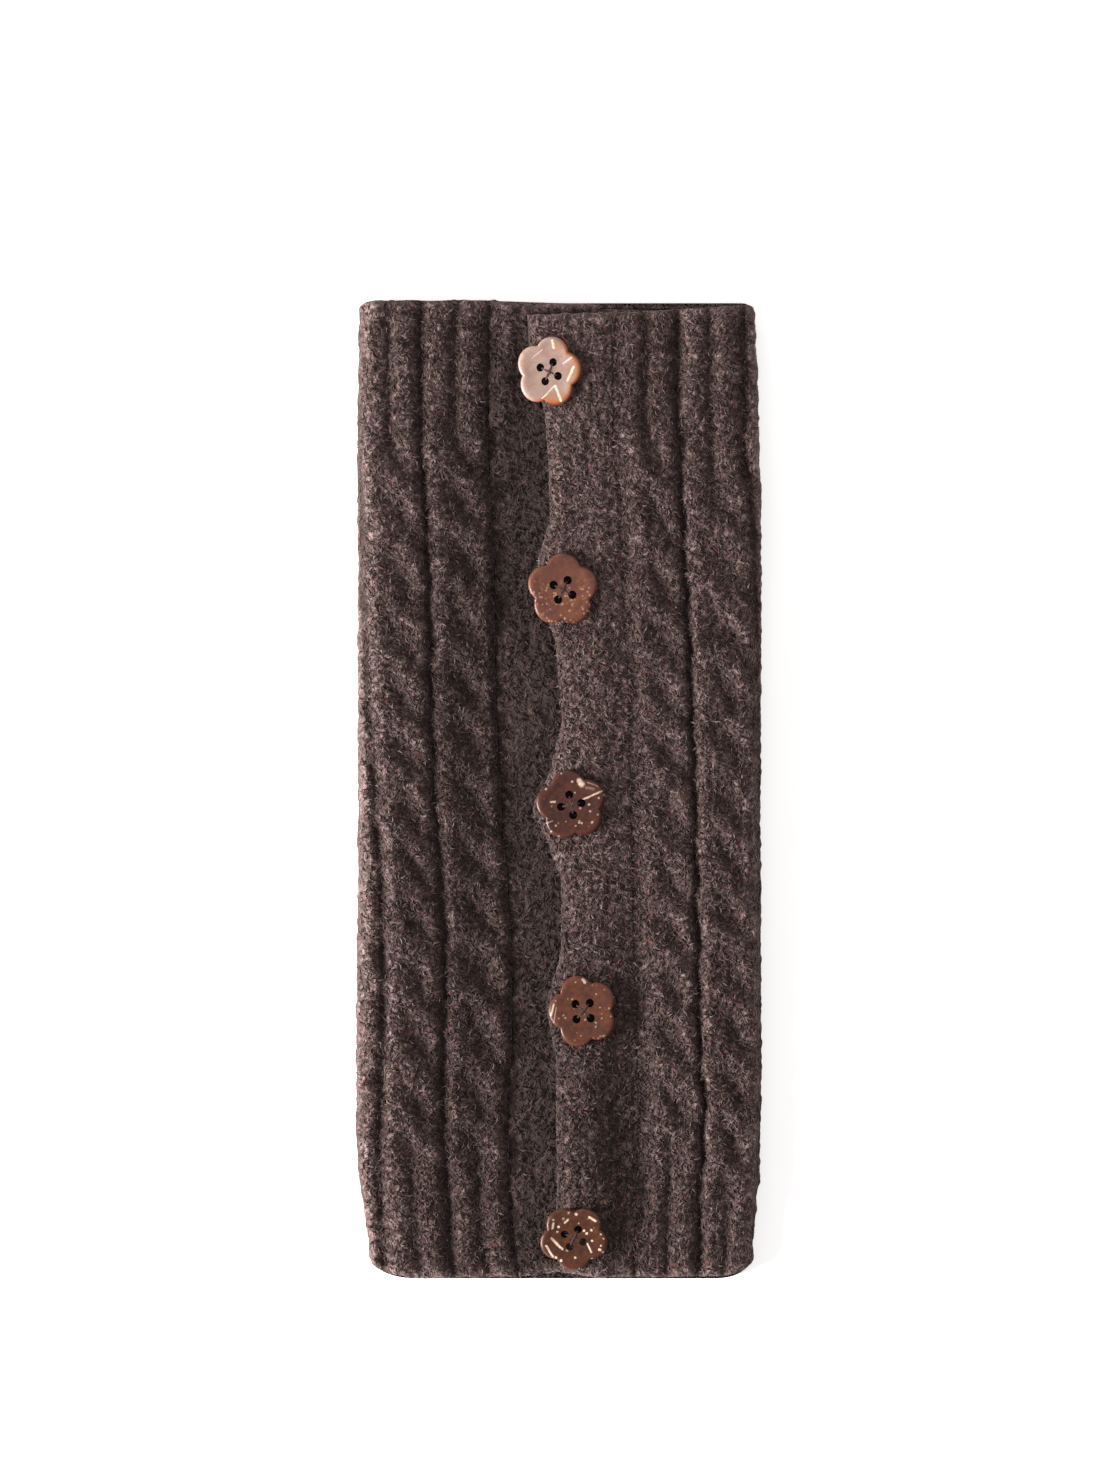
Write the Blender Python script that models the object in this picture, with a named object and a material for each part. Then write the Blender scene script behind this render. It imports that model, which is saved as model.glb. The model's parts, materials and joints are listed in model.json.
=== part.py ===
"""A cable-knit leg warmer that buttons down the front, laid flat on its back.

Sizes are in millimetres and become metres as each mesh is made. X runs across the garment, Y from the
bottom hem to the top hem and Z up from the surface it lies on. The front is worked out as heights over
the surface: the plain inside of the cloth, then the wall, then the ribs and cables raised on it.
"""

import math
from typing import NamedTuple

import bmesh
import bpy
import numpy as np

MM = 0.001

# The cloth and how its layers lie
BACK_WALL = 2.8
LAYER_GAP = 0.4
FRONT_INSIDE = BACK_WALL + LAYER_GAP
GROOVE_WALL = 1.7
BAND_WALL = 2.8
UNDER_BAND_WALL = 2.6
SEAM_GAP = 0.3
OVER_BAND_INSIDE = FRONT_INSIDE + UNDER_BAND_WALL + SEAM_GAP
SIDE_WALL = 2.4
FOLD_REACH = 5.0
UNDER_FOLD_REACH = 3.2
FOLD_MIDDLE = BACK_WALL + 0.5 * LAYER_GAP

# The ribs and cables. A place across a cable runs from -1 to 1
RIB_HEIGHT = 2.6
RIB_PLACE = 0.45
RIB_HALF_WIDTH = 0.46
RIB_BLEND = 9.0
CABLE_HEIGHT = 3.9
CABLE_EDGE = 0.3
EDGE_NOTCH = 0.12
STRAND_LEAN = 0.6
STRAND_BEND = 0.12
STRAND_TILT = 0.35
CREASE_SHARE = 0.5
CREASE_MIDDLE = 0.18
CREASE_REACH = 0.66
CREASE_POWER = 1.2
SIDE_CABLE_WIDTH = 21.0

# The bands at the front opening
BUTTON_BAND_EDGE = 13.5
SLOPE_END = 30.0
SLOPE_LENGTH = SLOPE_END - BUTTON_BAND_EDGE - SEAM_GAP
BAND_EDGE_ROUND = 2.4
BAND_EDGE_SHARE = 0.5
UNDER_EDGE_SHARE = 0.8
BAND_FADE = 10.0
SEAM_BLEND = 9.0
UNDER_BAND_LINES = (0.0, 0.03, 0.08, 0.3, 0.55, 0.8, 0.93, 0.97, 1.0)
OVER_BAND_LINES = (0.0, 0.02, 0.05, 0.1, 0.25, 0.5, 0.62, 0.75, 0.88, 1.0)

# The hems
HEM_ROUND = 1.9
HEM_EDGE = 0.45
HEM_MIDDLE = 0.35

# How finely each form is stepped
PANEL_ROWS = 87
BAND_ROWS = 50
STEPS_PER_CABLE = 9
FOLD_STEPS = (1.0, 0.6, 0.3, 0.1)
UNDER_FOLD_STEPS = (0.0, 0.12, 0.4, 1.0)
FOLD_CLEARANCE = 1.5

# The buttons
BUTTON_RADIUS = 11.6
PETALS = 5
BUTTON_THICKNESS = 2.0
BUTTON_EDGE = 0.5
BUTTON_POINTS = 40
CUTTER_LENGTH = 3.0 * BUTTON_THICKNESS
HOLES = 4
HOLE_POINTS = 8
HOLE_RADIUS = 1.3
HOLE_SPREAD = 3.4
BUTTON_SEAT = OVER_BAND_INSIDE + BAND_WALL + SEAM_GAP

# The plain finishes
WOOL_COLOUR = (0.065, 0.042, 0.037)
WOOL_ROUGHNESS = 0.95
SHELL_ROUGHNESS = 0.3


class Section(NamedTuple):
    """Where the folds and the sunken lines between the cables cross the width at one height."""

    y: float
    left_fold: float
    before_cable_1: float
    between_1_and_2: float
    button_band_seam: float
    buttonhole_band_seam: float
    between_3_and_4: float
    after_cable_4: float
    right_fold: float


SECTIONS = (
    Section(159.9, -64.9, -65.9, -45.3, -22.4, 17.4, 38.7, 60.2, 64.2),
    Section(114.2, -65.8, -65.5, -45.3, -23.1, 17.4, 38.4, 60.9, 65.6),
    Section(94.6, -65.8, -64.2, -44.0, -22.4, 19.1, 40.0, 62.5, 66.2),
    Section(75.0, -65.5, -63.8, -42.7, -21.1, 20.4, 41.0, 63.8, 66.2),
    Section(29.3, -65.5, -61.9, -42.0, -20.5, 22.7, 43.3, 64.8, 66.2),
    Section(-3.4, -65.5, -59.7, -40.7, -18.8, 23.3, 44.6, 65.1, 65.9),
    Section(-32.8, -65.5, -57.7, -38.4, -16.5, 24.0, 44.9, 65.1, 66.2),
    Section(-55.7, -65.9, -57.4, -37.1, -15.2, 24.6, 45.5, 65.5, 66.2),
    Section(-81.8, -66.2, -57.4, -37.8, -15.2, 25.3, 45.9, 65.5, 66.2),
    Section(-104.7, -66.2, -58.0, -37.8, -16.9, 26.3, 47.5, 65.5, 66.2),
    Section(-124.3, -65.5, -58.7, -36.8, -15.9, 25.6, 46.8, 64.8, 65.8),
    Section(-137.3, -63.6, -58.1, -36.0, -15.3, 25.1, 46.3, 63.9, 64.5),
    Section(-147.1, -62.3, -57.7, -35.5, -14.9, 24.6, 45.9, 63.2, 63.5),
    Section(-159.9, -61.6, -56.4, -33.8, -12.9, 24.3, 45.9, 61.9, 62.9),
)


class Crossing(NamedTuple):
    """The height of the middle of each crease between two strands of a cable, from the top down."""

    cable_1: float
    cable_2: float
    cable_3: float
    cable_4: float


CROSSINGS = (
    Crossing(109.6, 111.3, 112.9, 94.6),
    Crossing(92.3, 93.0, 90.4, 73.7),
    Crossing(68.8, 74.7, 68.1, 51.5),
    Crossing(49.5, 53.8, 50.2, 33.2),
    Crossing(29.9, 34.5, 31.2, 15.2),
    Crossing(11.6, 16.9, 13.3, -4.4),
    Crossing(-7.6, -2.7, -7.3, -20.7),
    Crossing(-23.3, -23.3, -26.9, -41.3),
    Crossing(-43.6, -40.3, -45.5, -60.2),
    Crossing(-62.2, -59.3, -63.8, -77.2),
    Crossing(-80.8, -80.2, -81.2, -95.2),
    Crossing(-100.4, -100.4, -100.4, -113.5),
)
LAST_CROSSING_LENGTH = 18.6


class EdgePoint(NamedTuple):
    """A point on the free edge of the buttonhole band, which pulls towards each button."""

    y: float
    x: float


BAND_EDGE = (
    EdgePoint(159.9, -10.2),
    EdgePoint(145.2, -9.7),
    EdgePoint(136.4, -8.4),
    EdgePoint(122.4, -4.4),
    EdgePoint(101.1, -3.1),
    EdgePoint(88.1, -2.8),
    EdgePoint(75.0, -6.7),
    EdgePoint(65.2, -7.3),
    EdgePoint(47.2, -0.8),
    EdgePoint(22.7, 1.1),
    EdgePoint(8.0, -2.2),
    EdgePoint(-6.7, -8.4),
    EdgePoint(-19.1, -2.8),
    EdgePoint(-30.0, 0.9),
    EdgePoint(-52.0, 0.8),
    EdgePoint(-71.0, -3.9),
    EdgePoint(-88.3, -0.8),
    EdgePoint(-134.1, -0.5),
    EdgePoint(-146.2, -2.2),
    EdgePoint(-159.9, 1.6),
)


class HemPoint(NamedTuple):
    """How high one point of a hem lies across the front."""

    x: float
    y: float


LEFT_TOP_HEM = (HemPoint(-60.0, 159.8), HemPoint(-21.0, 159.8), HemPoint(-10.0, 158.6))
RIGHT_TOP_HEM = (HemPoint(-10.0, 155.0), HemPoint(27.0, 156.0), HemPoint(66.0, 158.6))
LEFT_BOTTOM_HEM = (HemPoint(-62.0, -159.4), HemPoint(-13.0, -159.2), HemPoint(2.0, -156.0))
RIGHT_BOTTOM_HEM = (HemPoint(1.0, -157.2), HemPoint(12.0, -159.2), HemPoint(63.0, -159.0))
BACK_TOP = 159.0
BACK_BOTTOM = -159.8


class Button(NamedTuple):
    """A sewn button: its middle, its width and height shares, its turns in degrees and its colour.

    The first turn is that of a petal and the second that of the four holes.
    """

    x: float
    y: float
    width: float
    height: float
    petal_angle: float
    hole_angle: float
    colour: tuple


BUTTONS = (
    Button(-3.1, 136.4, 0.93, 1.0, 80.0, 21.0, (0.40, 0.27, 0.22)),
    Button(1.4, 65.2, 1.01, 1.04, 89.0, 18.0, (0.16, 0.067, 0.047)),
    Button(4.1, -5.0, 1.0, 0.99, 100.0, -34.0, (0.105, 0.048, 0.038)),
    Button(8.0, -72.3, 0.98, 1.03, 108.0, 4.0, (0.117, 0.048, 0.036)),
    Button(5.0, -146.2, 0.98, 0.92, 126.0, 21.0, (0.117, 0.053, 0.038)),
)


class Corner(NamedTuple):
    """A rounded corner of the flat garment: how far it reaches from the fold, and from the hem."""

    reach: float
    depth: float


LEFT_TOP_CORNER = Corner(2.6, 2.4)
RIGHT_TOP_CORNER = Corner(4.2, 3.6)
LEFT_BOTTOM_CORNER = Corner(15.0, 7.4)
RIGHT_BOTTOM_CORNER = Corner(11.5, 7.0)


def smooth(t):
    """An S-shaped step from 0 to 1 as t goes from 0 to 1."""
    t = min(max(t, 0.0), 1.0)
    return t * t * (3.0 - 2.0 * t)


def rounded(t):
    """A quarter of a circle: 0 at the edge and 1 from t = 1 on."""
    t = min(max(t, 0.0), 1.0)
    return math.sqrt(1.0 - (1.0 - t) ** 2)


def across(rows, y, column):
    """One column of a table at height y, eased from row to row down the garment."""
    if y >= rows[0].y:
        return getattr(rows[0], column)
    for above, below in zip(rows, rows[1:]):
        if y >= below.y:
            part = smooth((above.y - y) / (above.y - below.y)) * 0.5
            part += 0.5 * (above.y - y) / (above.y - below.y)
            return getattr(above, column) * (1.0 - part) + getattr(below, column) * part
    return getattr(rows[-1], column)


def along_hem(points, x):
    """The height of a hem at x."""
    return float(np.interp(x, [p.x for p in points], [p.y for p in points]))


def drawn_back(corner, distance):
    """How far a hem draws back at a distance from the fold."""
    return corner.depth * (1.0 - rounded(distance / corner.reach))


def front_inside(x):
    """The plain inside of the right front, which comes down from over the button band."""
    rise = OVER_BAND_INSIDE - FRONT_INSIDE
    return FRONT_INSIDE + rise * min(max((SLOPE_END - x) / SLOPE_LENGTH, 0.0), 1.0)


def turns(cable, y):
    """How many crossings a cable has made by height y. It stays whole in the ribs above and below."""
    starts = [getattr(row, cable) for row in CROSSINGS]
    starts.append(starts[-1] - LAST_CROSSING_LENGTH)
    return float(np.interp(-y, [-s for s in starts], range(len(starts))))


def cabled(cable, y):
    """1 within a cable and 0 in the ribs above and below it."""
    first = getattr(CROSSINGS[0], cable)
    last = getattr(CROSSINGS[-1], cable) - LAST_CROSSING_LENGTH
    return smooth((first + RIB_BLEND - y) / RIB_BLEND) * smooth((y - last + RIB_BLEND) / RIB_BLEND)


def ribs(place):
    """The height of the two straight ribs that a cable's strands run into."""
    offset = (abs(place) - RIB_PLACE) / RIB_HALF_WIDTH
    return RIB_HEIGHT * math.sqrt(max(0.0, 1.0 - offset * offset))


def rope(place, turn):
    """The height of a twisted cable, whose strands lean across it and meet in creases."""
    run = turn - STRAND_LEAN * place - STRAND_BEND * place * abs(place)
    offset = 2.0 * (run - math.floor(run)) - 1.0
    valley = (0.5 - 0.5 * math.cos(math.pi * offset)) ** CREASE_POWER
    crease = CREASE_SHARE * math.exp(-(((place - CREASE_MIDDLE) / CREASE_REACH) ** 2)) * valley
    tilt = STRAND_TILT * math.sin(math.pi * offset) * place
    edge = rounded((1.0 - abs(place) - EDGE_NOTCH * offset * offset) / CABLE_EDGE)
    return (CABLE_HEIGHT * (1.0 - crease) - tilt) * edge


def cable_height(cable, place, y):
    """The height of a cable, or of the ribs above and below it, over its ground."""
    twisted = cabled(cable, y)
    return ribs(place) * (1.0 - twisted) + rope(place, turns(cable, y)) * twisted


def relief(x, y):
    """The height of the ribs and cables at a point of the front."""
    at = {name: across(SECTIONS, y, name) for name in Section._fields[1:]}
    spans = (
        ("cable_2", at["before_cable_1"] - SIDE_CABLE_WIDTH, at["before_cable_1"]),
        ("cable_1", at["before_cable_1"], at["between_1_and_2"]),
        ("cable_2", at["between_1_and_2"], at["button_band_seam"]),
        ("cable_3", at["buttonhole_band_seam"], at["between_3_and_4"]),
        ("cable_4", at["between_3_and_4"], at["after_cable_4"]),
        ("cable_3", at["after_cable_4"], at["after_cable_4"] + SIDE_CABLE_WIDTH),
    )
    for cable, start, end in spans:
        if start <= x <= end:
            return cable_height(cable, 2.0 * (x - start) / (end - start) - 1.0, y)
    return 0.0


def front_height(x, y, right):
    """The outside of the front. On the right it rises smoothly out of the buttonhole band."""
    if not right:
        return FRONT_INSIDE + GROOVE_WALL + relief(x, y)
    from_seam = x - across(SECTIONS, y, "buttonhole_band_seam")
    ground = GROOVE_WALL + (BAND_WALL - GROOVE_WALL) * (1.0 - smooth(from_seam / BAND_FADE))
    return front_inside(x) + ground + relief(x, y) * smooth(from_seam / SEAM_BLEND)


def hem_share(distance):
    """How much of the wall is left at a distance from a hem's edge."""
    return HEM_EDGE + (1.0 - HEM_EDGE) * rounded(distance / HEM_ROUND)


def row_distances(count, length):
    """Distances from the top hem, close together near both hems."""
    ends = (0.0, HEM_MIDDLE * HEM_ROUND, HEM_ROUND)
    middle = np.linspace(HEM_ROUND, length - HEM_ROUND, count)[1:-1]
    return [*ends, *middle, *(length - d for d in reversed(ends))]


def new_material(name, colour, roughness):
    """A plain finish in the sub-part's own colour."""
    material = bpy.data.materials.new(name)
    material.use_nodes = True
    shader = material.node_tree.nodes["Principled BSDF"]
    shader.inputs["Base Color"].default_value = (*colour, 1.0)
    shader.inputs["Roughness"].default_value = roughness
    shader.inputs["Metallic"].default_value = 0.0
    return material


def new_object(name, mesh, collection, material):
    """Links a smooth-shaded mesh to a collection as one sub-part."""
    obj = bpy.data.objects.new(name, mesh)
    collection.objects.link(obj)
    mesh.materials.append(material)
    mesh.shade_smooth()
    return obj


def wall_mesh(name, outside, inside):
    """A closed wall between two grids of points in millimetres, with as many rows and columns each."""
    bm = bmesh.new()
    outer = [[bm.verts.new([c * MM for c in point]) for point in row] for row in outside]
    inner = [[bm.verts.new([c * MM for c in point]) for point in row] for row in inside]
    last_row, last = len(outer) - 1, len(outer[0]) - 1
    for r in range(last_row):
        for c in range(last):
            bm.faces.new((outer[r][c], outer[r][c + 1], outer[r + 1][c + 1], outer[r + 1][c]))
            bm.faces.new((inner[r][c], inner[r + 1][c], inner[r + 1][c + 1], inner[r][c + 1]))
        bm.faces.new((outer[r][0], outer[r + 1][0], inner[r + 1][0], inner[r][0]))
        bm.faces.new((outer[r + 1][last], outer[r][last], inner[r][last], inner[r + 1][last]))
    for c in range(last):
        bm.faces.new((outer[0][c + 1], outer[0][c], inner[0][c], inner[0][c + 1]))
        bm.faces.new((outer[last_row][c], outer[last_row][c + 1], inner[last_row][c + 1], inner[last_row][c]))
    bmesh.ops.recalc_face_normals(bm, faces=bm.faces)
    mesh = bpy.data.meshes.new(name)
    bm.to_mesh(mesh)
    bm.free()
    return mesh


class Column(NamedTuple):
    """One lengthwise line of the panel: between two named lines, or in from a fold, on the front or back."""

    start: str
    end: str
    part: float
    inset: float
    front: bool


def panel_columns():
    """The panel's lengthwise lines, from its left front edge round the back to its right front edge."""
    steps = [i / STEPS_PER_CABLE for i in range(STEPS_PER_CABLE)]
    under = [u * UNDER_FOLD_REACH for u in UNDER_FOLD_STEPS]
    under += [0.5 * LEFT_BOTTOM_CORNER.reach, LEFT_BOTTOM_CORNER.reach]
    left = [Column("button_band_seam", "between_1_and_2", s, 0.0, True) for s in steps]
    left += [Column("between_1_and_2", "before_cable_1", s, 0.0, True) for s in steps]
    left += [Column("before_cable_1", "left_fold", 0.0, 0.0, True)]
    left += [Column("left_fold", "left_fold", 0.0, f * FOLD_REACH, True) for f in FOLD_STEPS]
    left += [Column("left_fold", "left_fold", 0.0, u, False) for u in under]
    right = [Column("buttonhole_band_seam", "between_3_and_4", s, 0.0, True) for s in steps]
    right += [Column("between_3_and_4", "after_cable_4", s, 0.0, True) for s in steps]
    right += [Column("after_cable_4", "right_fold", 0.0, 0.0, True)]
    right += [Column("right_fold", "right_fold", 0.0, -f * FOLD_REACH, True) for f in FOLD_STEPS]
    right += [Column("right_fold", "right_fold", 0.0, -u, False) for u in under]
    return left, right


def line_at(name, y):
    """A named line at height y, kept clear of the rounded folds."""
    x = across(SECTIONS, y, name)
    clear = FOLD_REACH + FOLD_CLEARANCE
    if name == "before_cable_1":
        return max(x, across(SECTIONS, y, "left_fold") + clear)
    if name == "after_cable_4":
        return min(x, across(SECTIONS, y, "right_fold") - clear)
    return x


def column_end(column, right, top):
    """The height at which one of the panel's lengthwise lines ends at the top or bottom hem."""
    y = SECTIONS[0].y if top else SECTIONS[-1].y
    hem = (LEFT_TOP_HEM, RIGHT_TOP_HEM) if top else (LEFT_BOTTOM_HEM, RIGHT_BOTTOM_HEM)
    level = BACK_TOP if top else BACK_BOTTOM
    x = column_x(column, y)
    inward = abs(across(SECTIONS, y, "right_fold" if right else "left_fold") - x)
    end = level
    if column.front:
        end += (along_hem(hem[right], x) - level) * smooth(inward / FOLD_REACH)
    if top:
        return end - drawn_back((LEFT_TOP_CORNER, RIGHT_TOP_CORNER)[right], inward)
    return end + drawn_back((LEFT_BOTTOM_CORNER, RIGHT_BOTTOM_CORNER)[right], inward)


def column_x(column, y):
    """Where one of the panel's lengthwise lines crosses the width at height y."""
    start, end = line_at(column.start, y), line_at(column.end, y)
    return start + (end - start) * column.part + column.inset


def panel_points(column, y, right, share):
    """The outside and inside points of the panel on one lengthwise line, at a share of its wall."""
    x = column_x(column, y)
    fold = across(SECTIONS, y, "right_fold" if right else "left_fold")
    inward = abs(fold - x)
    if column.front:
        height = front_height(x, y, right)
        outer = FOLD_MIDDLE + (height - FOLD_MIDDLE) * rounded(inward / FOLD_REACH)
        level = front_inside(x) if right else FRONT_INSIDE
    else:
        outer = FOLD_MIDDLE * (1.0 - rounded(inward / UNDER_FOLD_REACH))
        level = BACK_WALL
    reach = FOLD_REACH if column.front else UNDER_FOLD_REACH
    part = min(inward / reach, 1.0)
    inner_z = FOLD_MIDDLE + (level - FOLD_MIDDLE) * rounded(part)
    inner_x = x + math.copysign(SIDE_WALL * (1.0 - part), -fold)
    outer = inner_z + (outer - inner_z) * share
    return (x, y, outer), (inner_x, y, inner_z)


def wall_from_lines(name, lines):
    """A wall from its lengthwise lines, each a list of pairs of an outside and an inside point."""
    rows = list(zip(*lines))
    outside = [[pair[0] for pair in row] for row in rows]
    inside = [[pair[1] for pair in row] for row in rows]
    return wall_mesh(name, outside, inside)


def cable_panel():
    """The knitted body from the left front round the back to the right front."""
    left, right = panel_columns()
    columns = [(column, False) for column in left] + [(column, True) for column in reversed(right)]
    lines = []
    for column, is_right in columns:
        top, bottom = (column_end(column, is_right, at_top) for at_top in (True, False))
        line = []
        for d in row_distances(PANEL_ROWS, top - bottom):
            share = hem_share(min(d, top - bottom - d))
            line.append(panel_points(column, top - d, is_right, share))
        lines.append(line)
    return wall_from_lines("cable_panel", lines)


def band_mesh(name, starts, insets, end, hems, level, height):
    """A plain band as a wall. Its cross lines run from starts(y) to end(y), and height gives its outside."""
    lines = []
    for inset in insets:
        x_top = starts(SECTIONS[0].y) + inset * (end(SECTIONS[0].y) - starts(SECTIONS[0].y))
        x_bottom = starts(SECTIONS[-1].y) + inset * (end(SECTIONS[-1].y) - starts(SECTIONS[-1].y))
        top, bottom = along_hem(hems[0], x_top), along_hem(hems[1], x_bottom)
        line = []
        for d in row_distances(BAND_ROWS, top - bottom):
            y = top - d
            x = starts(y) + inset * (end(y) - starts(y))
            inner = level(x)
            share = hem_share(min(d, top - bottom - d))
            line.append(((x, y, inner + (height(x, y) - inner) * share), (x, y, inner)))
        lines.append(line)
    return wall_from_lines(name, lines)


def button_band():
    """The band under the front opening, from the second cable to just short of the right front."""

    def start(y):
        return across(SECTIONS, y, "button_band_seam") + SEAM_GAP

    def height(x, y):
        seam = rounded((x - start(y)) / BAND_EDGE_ROUND)
        edge = rounded((BUTTON_BAND_EDGE - x) / BAND_EDGE_ROUND)
        share = 2.0 * UNDER_EDGE_SHARE - 1.0 + (1.0 - UNDER_EDGE_SHARE) * (seam + edge)
        return FRONT_INSIDE + UNDER_BAND_WALL * share

    hems = (LEFT_TOP_HEM, LEFT_BOTTOM_HEM)
    lines = UNDER_BAND_LINES
    return band_mesh("button_band", start, lines, lambda y: BUTTON_BAND_EDGE, hems, lambda x: FRONT_INSIDE, height)


def buttonhole_band():
    """The band over the front opening, with the free edge that pulls towards each button."""

    def start(y):
        return across(BAND_EDGE, y, "x")

    def end(y):
        return across(SECTIONS, y, "buttonhole_band_seam") - SEAM_GAP

    def height(x, y):
        edge = rounded((x - start(y)) / BAND_EDGE_ROUND)
        return front_inside(x) + BAND_WALL * (BAND_EDGE_SHARE + (1.0 - BAND_EDGE_SHARE) * edge)

    hems = (RIGHT_TOP_HEM, RIGHT_BOTTOM_HEM)
    return band_mesh("buttonhole_band", start, OVER_BAND_LINES, end, hems, front_inside, height)


def petal_radius(angle):
    """The outline of a flower of round petals that all reach the middle."""
    spread = 2.0 * math.pi / PETALS
    from_petal = angle - spread * round(angle / spread)
    return BUTTON_RADIUS * math.cos(from_petal)


def flower_mesh(name, button):
    """A flower-shaped disc with eased edges, its lower face at the seat."""
    bm = bmesh.new()
    ring = bmesh.ops.create_circle(bm, cap_ends=True, segments=BUTTON_POINTS, radius=BUTTON_RADIUS * MM)
    for vert in ring["verts"]:
        angle = math.atan2(vert.co.y, vert.co.x)
        radius = petal_radius(angle) * MM
        turned = angle + math.radians(button.petal_angle)
        vert.co = (button.width * radius * math.cos(turned), button.height * radius * math.sin(turned), 0.0)
    made = bmesh.ops.extrude_face_region(bm, geom=list(bm.faces))
    top = [item for item in made["geom"] if isinstance(item, bmesh.types.BMVert)]
    bmesh.ops.translate(bm, verts=top, vec=(0.0, 0.0, BUTTON_THICKNESS * MM))
    rims = [edge for edge in bm.edges if abs(edge.verts[0].co.z - edge.verts[1].co.z) < 0.5 * BUTTON_EDGE * MM]
    bmesh.ops.bevel(
        bm, geom=rims, offset=BUTTON_EDGE * MM, segments=1, profile=0.5, affect="EDGES", material=-1
    )
    bmesh.ops.recalc_face_normals(bm, faces=bm.faces)
    mesh = bpy.data.meshes.new(name)
    bm.to_mesh(mesh)
    bm.free()
    return mesh


def hole_cutter(name, collection):
    """The upright pins that cut the sewing holes of one button."""
    bm = bmesh.new()
    for i in range(HOLES):
        angle = 2.0 * math.pi * (i + 0.5) / HOLES
        made = bmesh.ops.create_cone(
            bm,
            cap_ends=True,
            segments=HOLE_POINTS,
            radius1=HOLE_RADIUS * MM,
            radius2=HOLE_RADIUS * MM,
            depth=CUTTER_LENGTH * MM,
        )
        place = (HOLE_SPREAD * MM * math.cos(angle), HOLE_SPREAD * MM * math.sin(angle), 0.0)
        bmesh.ops.translate(bm, verts=made["verts"], vec=place)
    mesh = bpy.data.meshes.new(name)
    bm.to_mesh(mesh)
    bm.free()
    cutter = bpy.data.objects.new(name, mesh)
    cutter.hide_render = True
    cutter.display_type = "WIRE"
    collection.objects.link(cutter)
    return cutter


def add_buttons(collection, cutters):
    """The five flower buttons, each on its own place and turned its own way."""
    for number, button in enumerate(BUTTONS, start=1):
        name = f"flower_button_{number}"
        material = new_material(f"shell_{number}", button.colour, SHELL_ROUGHNESS)
        flower = new_object(name, flower_mesh(name, button), collection, material)
        place = (button.x * MM, button.y * MM, BUTTON_SEAT * MM)
        flower.location = place
        cutter = hole_cutter(f"{name}_holes", cutters)
        cutter.location = place
        cutter.rotation_euler = (0.0, 0.0, math.radians(button.hole_angle))
        cut = flower.modifiers.new("sewing_holes", "BOOLEAN")
        cut.operation = "DIFFERENCE"
        cut.solver = "EXACT"
        cut.object = cutter


def clear_scene():
    """Removes what the scene starts with."""
    for obj in list(bpy.data.objects):
        bpy.data.objects.remove(obj, do_unlink=True)


def main():
    """Builds the leg warmer."""
    clear_scene()
    garment = bpy.data.collections.new("leg_warmer")
    cutters = bpy.data.collections.new("cutters")
    for collection in (garment, cutters):
        bpy.context.scene.collection.children.link(collection)
    wool = new_material("brown_wool", WOOL_COLOUR, WOOL_ROUGHNESS)
    for build in (cable_panel, button_band, buttonhole_band):
        new_object(build.__name__, build(), garment, wool)
    add_buttons(garment, cutters)


main()
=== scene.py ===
"""The looks of a fulled wool leg warmer with rope cables, ribbed hems and a flower-buttoned front.

It lies flat on its back. X runs across it, Y from the bottom hem to the top hem and Z up. The tables and
sizes of the cloth are in millimetres, as they are where its solids are made, and meshes are in metres.
"""

import json
import logging
import math
from dataclasses import dataclass
from enum import Enum
from typing import Any, NamedTuple

import bmesh
import bpy
import numpy as np
from mathutils import Matrix, Vector

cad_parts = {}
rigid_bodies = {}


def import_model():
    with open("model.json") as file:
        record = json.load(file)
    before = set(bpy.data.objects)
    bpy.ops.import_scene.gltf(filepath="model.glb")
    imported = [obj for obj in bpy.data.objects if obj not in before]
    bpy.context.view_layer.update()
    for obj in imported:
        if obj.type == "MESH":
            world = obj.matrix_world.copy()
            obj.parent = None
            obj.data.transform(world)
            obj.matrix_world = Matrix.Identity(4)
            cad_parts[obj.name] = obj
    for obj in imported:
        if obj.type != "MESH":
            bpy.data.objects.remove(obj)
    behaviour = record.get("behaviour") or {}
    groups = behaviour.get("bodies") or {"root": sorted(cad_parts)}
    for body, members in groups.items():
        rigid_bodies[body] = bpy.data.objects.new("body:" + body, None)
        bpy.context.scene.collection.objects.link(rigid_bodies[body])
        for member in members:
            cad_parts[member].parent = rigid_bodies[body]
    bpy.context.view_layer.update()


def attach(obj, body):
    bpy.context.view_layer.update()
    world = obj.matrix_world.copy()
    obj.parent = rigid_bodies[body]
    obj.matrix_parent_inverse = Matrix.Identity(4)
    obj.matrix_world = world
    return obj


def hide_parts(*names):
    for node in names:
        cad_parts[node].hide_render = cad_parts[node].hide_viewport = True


for left_over in list(bpy.data.objects):
    bpy.data.objects.remove(left_over, do_unlink=True)
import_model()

LOG = logging.getLogger("leg_warmer")
MM = 0.001
SWEEP = 2.0 * math.pi
# How far random lumps reach across and along, and where fibres may stand, in millimetres
LUMP_REACH = (340.0, 420.0)
FIBRE_MARGIN = 2.0
FIBRE_FLOOR = 3.0
Array = np.ndarray
Colour = tuple[float, float, float]


class Side(Enum):
    """The two folded sides of the flat tube, by the name of their line in the table of sections."""

    LEFT = "left_fold"
    RIGHT = "right_fold"


class Cable(Enum):
    """The four rope cables, by the name of their column in the table of crossings."""

    ONE = "cable_1"
    TWO = "cable_2"
    THREE = "cable_3"
    FOUR = "cable_4"


class Section(NamedTuple):
    """Where the folds and the sunken lines between the cables cross the width at one height."""

    y: float
    left_fold: float
    before_cable_1: float
    between_1_and_2: float
    button_band_seam: float
    buttonhole_band_seam: float
    between_3_and_4: float
    after_cable_4: float
    right_fold: float


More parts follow.
